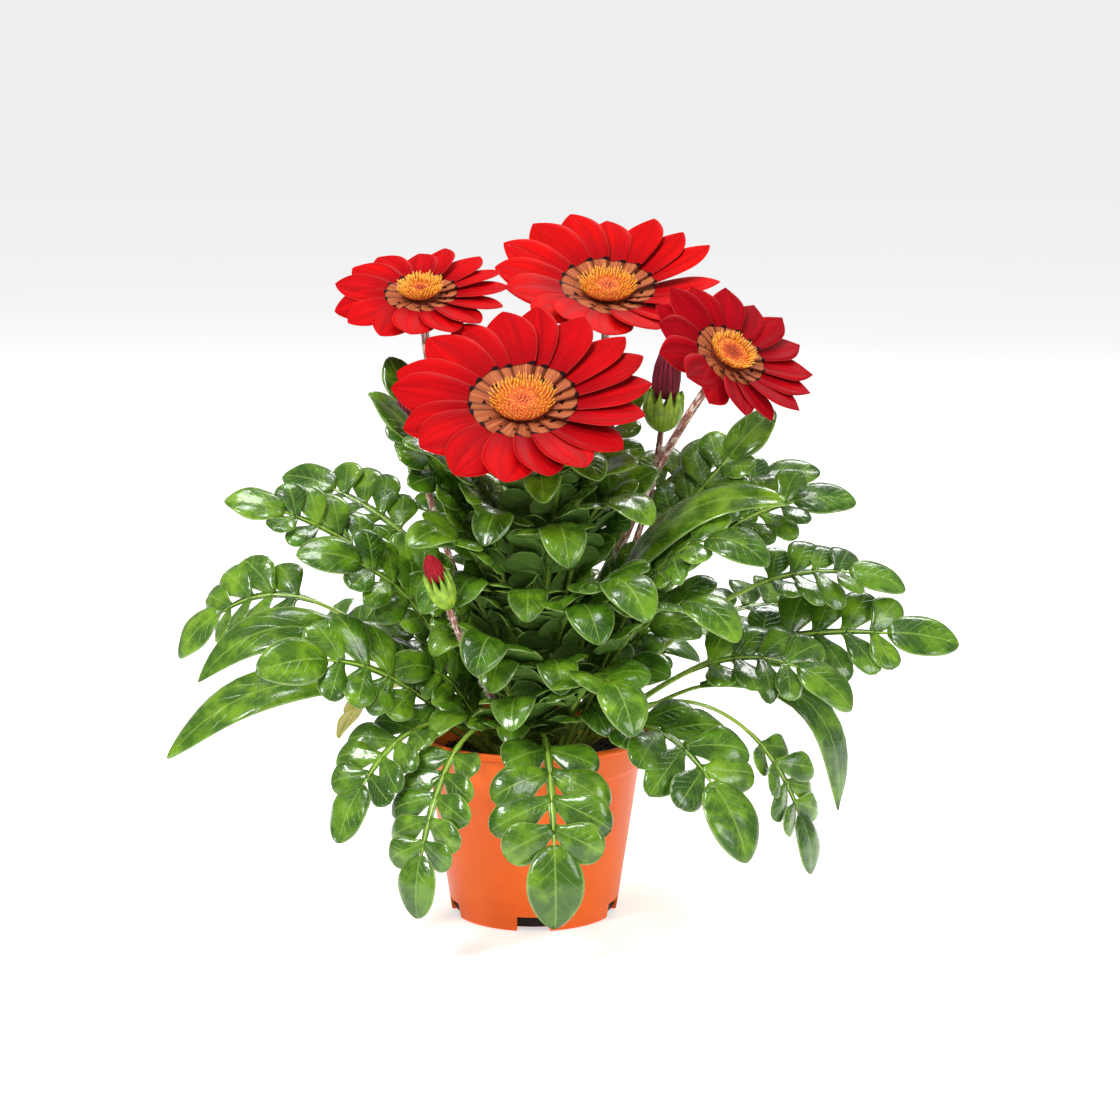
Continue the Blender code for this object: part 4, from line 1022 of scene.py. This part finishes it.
def make_pot():
    """The pot, round and rolled at the rim, with its drainage notches cut through the foot."""
    collar = POT_HEIGHT - COLLAR_HEIGHT

    def inner(radius):
        return radius - WALL

    outside = [
        (0, 0), (FOOT_RADIUS - 1.2 * MM, 0), (FOOT_RADIUS - 0.3 * MM, 0.25 * MM), (FOOT_RADIUS, 1.1 * MM),
        (FOOT_RADIUS + 1.5 * MM, 11 * MM), (FOOT_RADIUS + 1.7 * MM, 12.4 * MM),
        (BODY_TOP_RADIUS - 0.1 * MM, collar - 2.4 * MM), (BODY_TOP_RADIUS + 0.3 * MM, collar - 1.6 * MM),
        (COLLAR_FOOT_RADIUS - 0.2 * MM, collar - 0.7 * MM),
        (COLLAR_FOOT_RADIUS + 0.1 * MM, collar + 0.2 * MM),
        (COLLAR_FOOT_RADIUS + 2.9 * MM, POT_HEIGHT - 3.6 * MM),
    ]
    rim = [
        (RIM_RADIUS - 1.2 * MM, POT_HEIGHT - 2.7 * MM), (RIM_RADIUS - 0.1 * MM, POT_HEIGHT - 2.0 * MM),
        (RIM_RADIUS, POT_HEIGHT - 1.2 * MM), (RIM_RADIUS - 0.4 * MM, POT_HEIGHT - 0.4 * MM),
        (RIM_RADIUS - 1.1 * MM, POT_HEIGHT), (RIM_RADIUS - 2 * MM, POT_HEIGHT - 0.2 * MM),
    ]
    inside = [
        (inner(COLLAR_FOOT_RADIUS + 3 * MM), POT_HEIGHT - 3 * MM), (inner(COLLAR_FOOT_RADIUS), collar),
        (inner(BODY_TOP_RADIUS), collar - 2.5 * MM), (inner(TAPER_FOOT_RADIUS), TAPER_FROM),
        (inner(FOOT_RADIUS), FLOOR_TOP), (0, FLOOR_TOP),
    ]
    shell = Shell()
    shell.turned(outside + rim + inside, 160)
    pot = shell.made("pot_fine", pot_finish(), "pot_plastic", "pot")
    cutters = []
    for k in range(NOTCH_COUNT):
        angle = -math.pi / 2 + 2 * math.pi * k / NOTCH_COUNT
        bpy.ops.mesh.primitive_cube_add(size=1)
        cutter = bpy.context.object
        cutter.scale = (NOTCH_DEPTH, NOTCH_WIDTH, 2 * NOTCH_HEIGHT)
        cutter.location = (FOOT_RADIUS * math.cos(angle), FOOT_RADIUS * math.sin(angle), 0)
        cutter.rotation_euler = (0, 0, angle)
        cut = pot.modifiers.new("notch", "BOOLEAN")
        cut.operation = "DIFFERENCE"
        cut.object = cutter
        cut.solver = "EXACT"
        cutters.append(cutter)
    bpy.context.view_layer.update()
    made = bpy.data.meshes.new_from_object(pot.evaluated_get(bpy.context.evaluated_depsgraph_get()))
    pot.modifiers.clear()
    pot.data = made
    pot.data.shade_smooth()
    pot.data.set_sharp_from_angle(angle=math.radians(38))
    for cutter in cutters:
        bpy.data.objects.remove(cutter)


def inner_radius_at(height):
    """The pot's inner radius below its collar."""
    taper_height = POT_HEIGHT - COLLAR_HEIGHT - 2.5 * MM - TAPER_FROM
    share = min((height - TAPER_FROM) / taper_height, 1)
    return TAPER_FOOT_RADIUS + (BODY_TOP_RADIUS - TAPER_FOOT_RADIUS) * share - WALL


def make_soil():
    """The soil: an uneven crumbly top, with loose crumbs half sunk in it."""
    body = inner_radius_at(SOIL_TOP) - GAP
    profile = [(0, FLOOR_TOP + GAP), (FOOT_RADIUS - WALL - GAP, FLOOR_TOP + GAP)]
    profile += [(inner_radius_at(height) - GAP, height) for height in (TAPER_FROM, 66 * MM)]
    profile += [(body - 0.6 * MM, 70.5 * MM), (body - 1.6 * MM, SOIL_TOP - 1.6 * MM)]
    profile += [(body * (1 - k / 16), SOIL_TOP - 1.3 * MM + 0.5 * MM * k / 16) for k in range(1, 16)]
    profile.append((0, SOIL_TOP - 0.6 * MM))

    def uneven(angle, share, r, z):
        if z < 71 * MM:
            return r, z
        lumps = math.sin(5 * angle + r * 400) + math.sin(11 * angle - r * 900) * 0.6
        return r, z + 0.28 * MM * (lumps + jitter(angle * 9, r * 900) * 0.7)

    shell = Shell()
    shell.turned(profile, 140, uneven)
    for k in range(CRUMBS):
        angle, reach = k * 2.39996, body * 0.97 * math.sqrt((k + 0.5) / CRUMBS)
        size = (0.5 + 0.45 * abs(jitter(k, 1))) * MM
        place = Vector((reach * math.cos(angle), reach * math.sin(angle), SOIL_TOP - 0.9 * MM))
        add_crumb(shell, place, size, k)
    shell.made("soil_fine", soil_finish(), "soil", "soil")


def add_crumb(shell, place, size, seed):
    """A small irregular lump."""
    profile = [(0, -1.0), (0.8, -0.55), (1.0, 0.1), (0.6, 0.75), (0, 1.0)]

    def lumpy(angle, share, r, z):
        rough = 1 + 0.3 * jitter(seed + angle, share * 5)
        return size * r * rough, size * z * 0.8 * rough

    shell.turned(profile, 6, lumpy, Matrix.Translation(place))


def stage_and_light():
    """A pale floor, soft lights and the camera at the photograph's viewing angle."""
    bpy.ops.mesh.primitive_circle_add(vertices=96, radius=8, fill_type="NGON", location=(0, 0, -0.0002))
    floor = bpy.context.object
    floor.name = "floor"
    f = Finish("floor_paint")
    haze = f.noise(3, 2)
    pale = f.mix(haze, (0.86, 0.86, 0.86), (0.90, 0.90, 0.90))
    floor.data.materials.append(f.done(pale, 0.85, Emission_Color=(1, 1, 1, 1), Emission_Strength=0.56))
    world = bpy.data.worlds.new("studio")
    bpy.context.scene.world = world
    world.use_nodes = True
    tree = world.node_tree
    light = tree.nodes["Background"]
    light.inputs["Color"].default_value = (1, 1, 1, 1)
    light.inputs["Strength"].default_value = 0.34
    seen = tree.nodes.new("ShaderNodeBackground")
    seen.inputs["Color"].default_value = (0.86, 0.86, 0.86, 1)
    path = tree.nodes.new("ShaderNodeLightPath")
    mix = tree.nodes.new("ShaderNodeMixShader")
    tree.links.new(path.outputs["Is Camera Ray"], mix.inputs[0])
    tree.links.new(light.outputs[0], mix.inputs[1])
    tree.links.new(seen.outputs[0], mix.inputs[2])
    tree.links.new(mix.outputs[0], tree.nodes["World Output"].inputs["Surface"])
    aim = Vector((0, 0, 0.16))
    for name, place, size, power in (
        ("key", (-0.9, -1.2, 1.5), 0.5, 32),
        ("fill", (1.3, -1.1, 0.9), 0.7, 12),
        ("back", (0.5, 1.2, 1.5), 0.7, 18),
        ("top", (-0.1, -0.1, 1.7), 0.5, 13),
    ):
        data = bpy.data.lights.new(name, "AREA")
        data.size = size
        data.energy = power
        lamp = bpy.data.objects.new(name, data)
        bpy.context.scene.collection.objects.link(lamp)
        lamp.location = place
        lamp.rotation_euler = (aim - Vector(place)).to_track_quat("-Z", "Y").to_euler()
    bpy.context.scene.view_settings.view_transform = "Standard"
    camera = bpy.data.objects.new("camera", bpy.data.cameras.new("camera"))
    bpy.context.scene.collection.objects.link(camera)
    camera.data.lens = CAMERA_LENS
    camera.data.sensor_width = 36
    camera.location = CAMERA_PLACE
    camera.rotation_euler = (math.pi / 2 - CAMERA_DOWN, 0, 0)
    bpy.context.scene.camera = camera


def main():
    stage_and_light()
    make_pot()
    make_soil()
    make_leaves()
    skins = {
        "petal": petal_finish(), "disc": disc_finish(), "cup": cup_finish(), "stalk": stalk_finish(),
        "wool": wool_finish(), "bud": bud_finish(),
    }
    for number, row in enumerate(BLOOMS, 1):
        make_bloom(number, row, skins)
    for number, row in enumerate(BUDS, 1):
        make_bud(number, row, skins)


main()
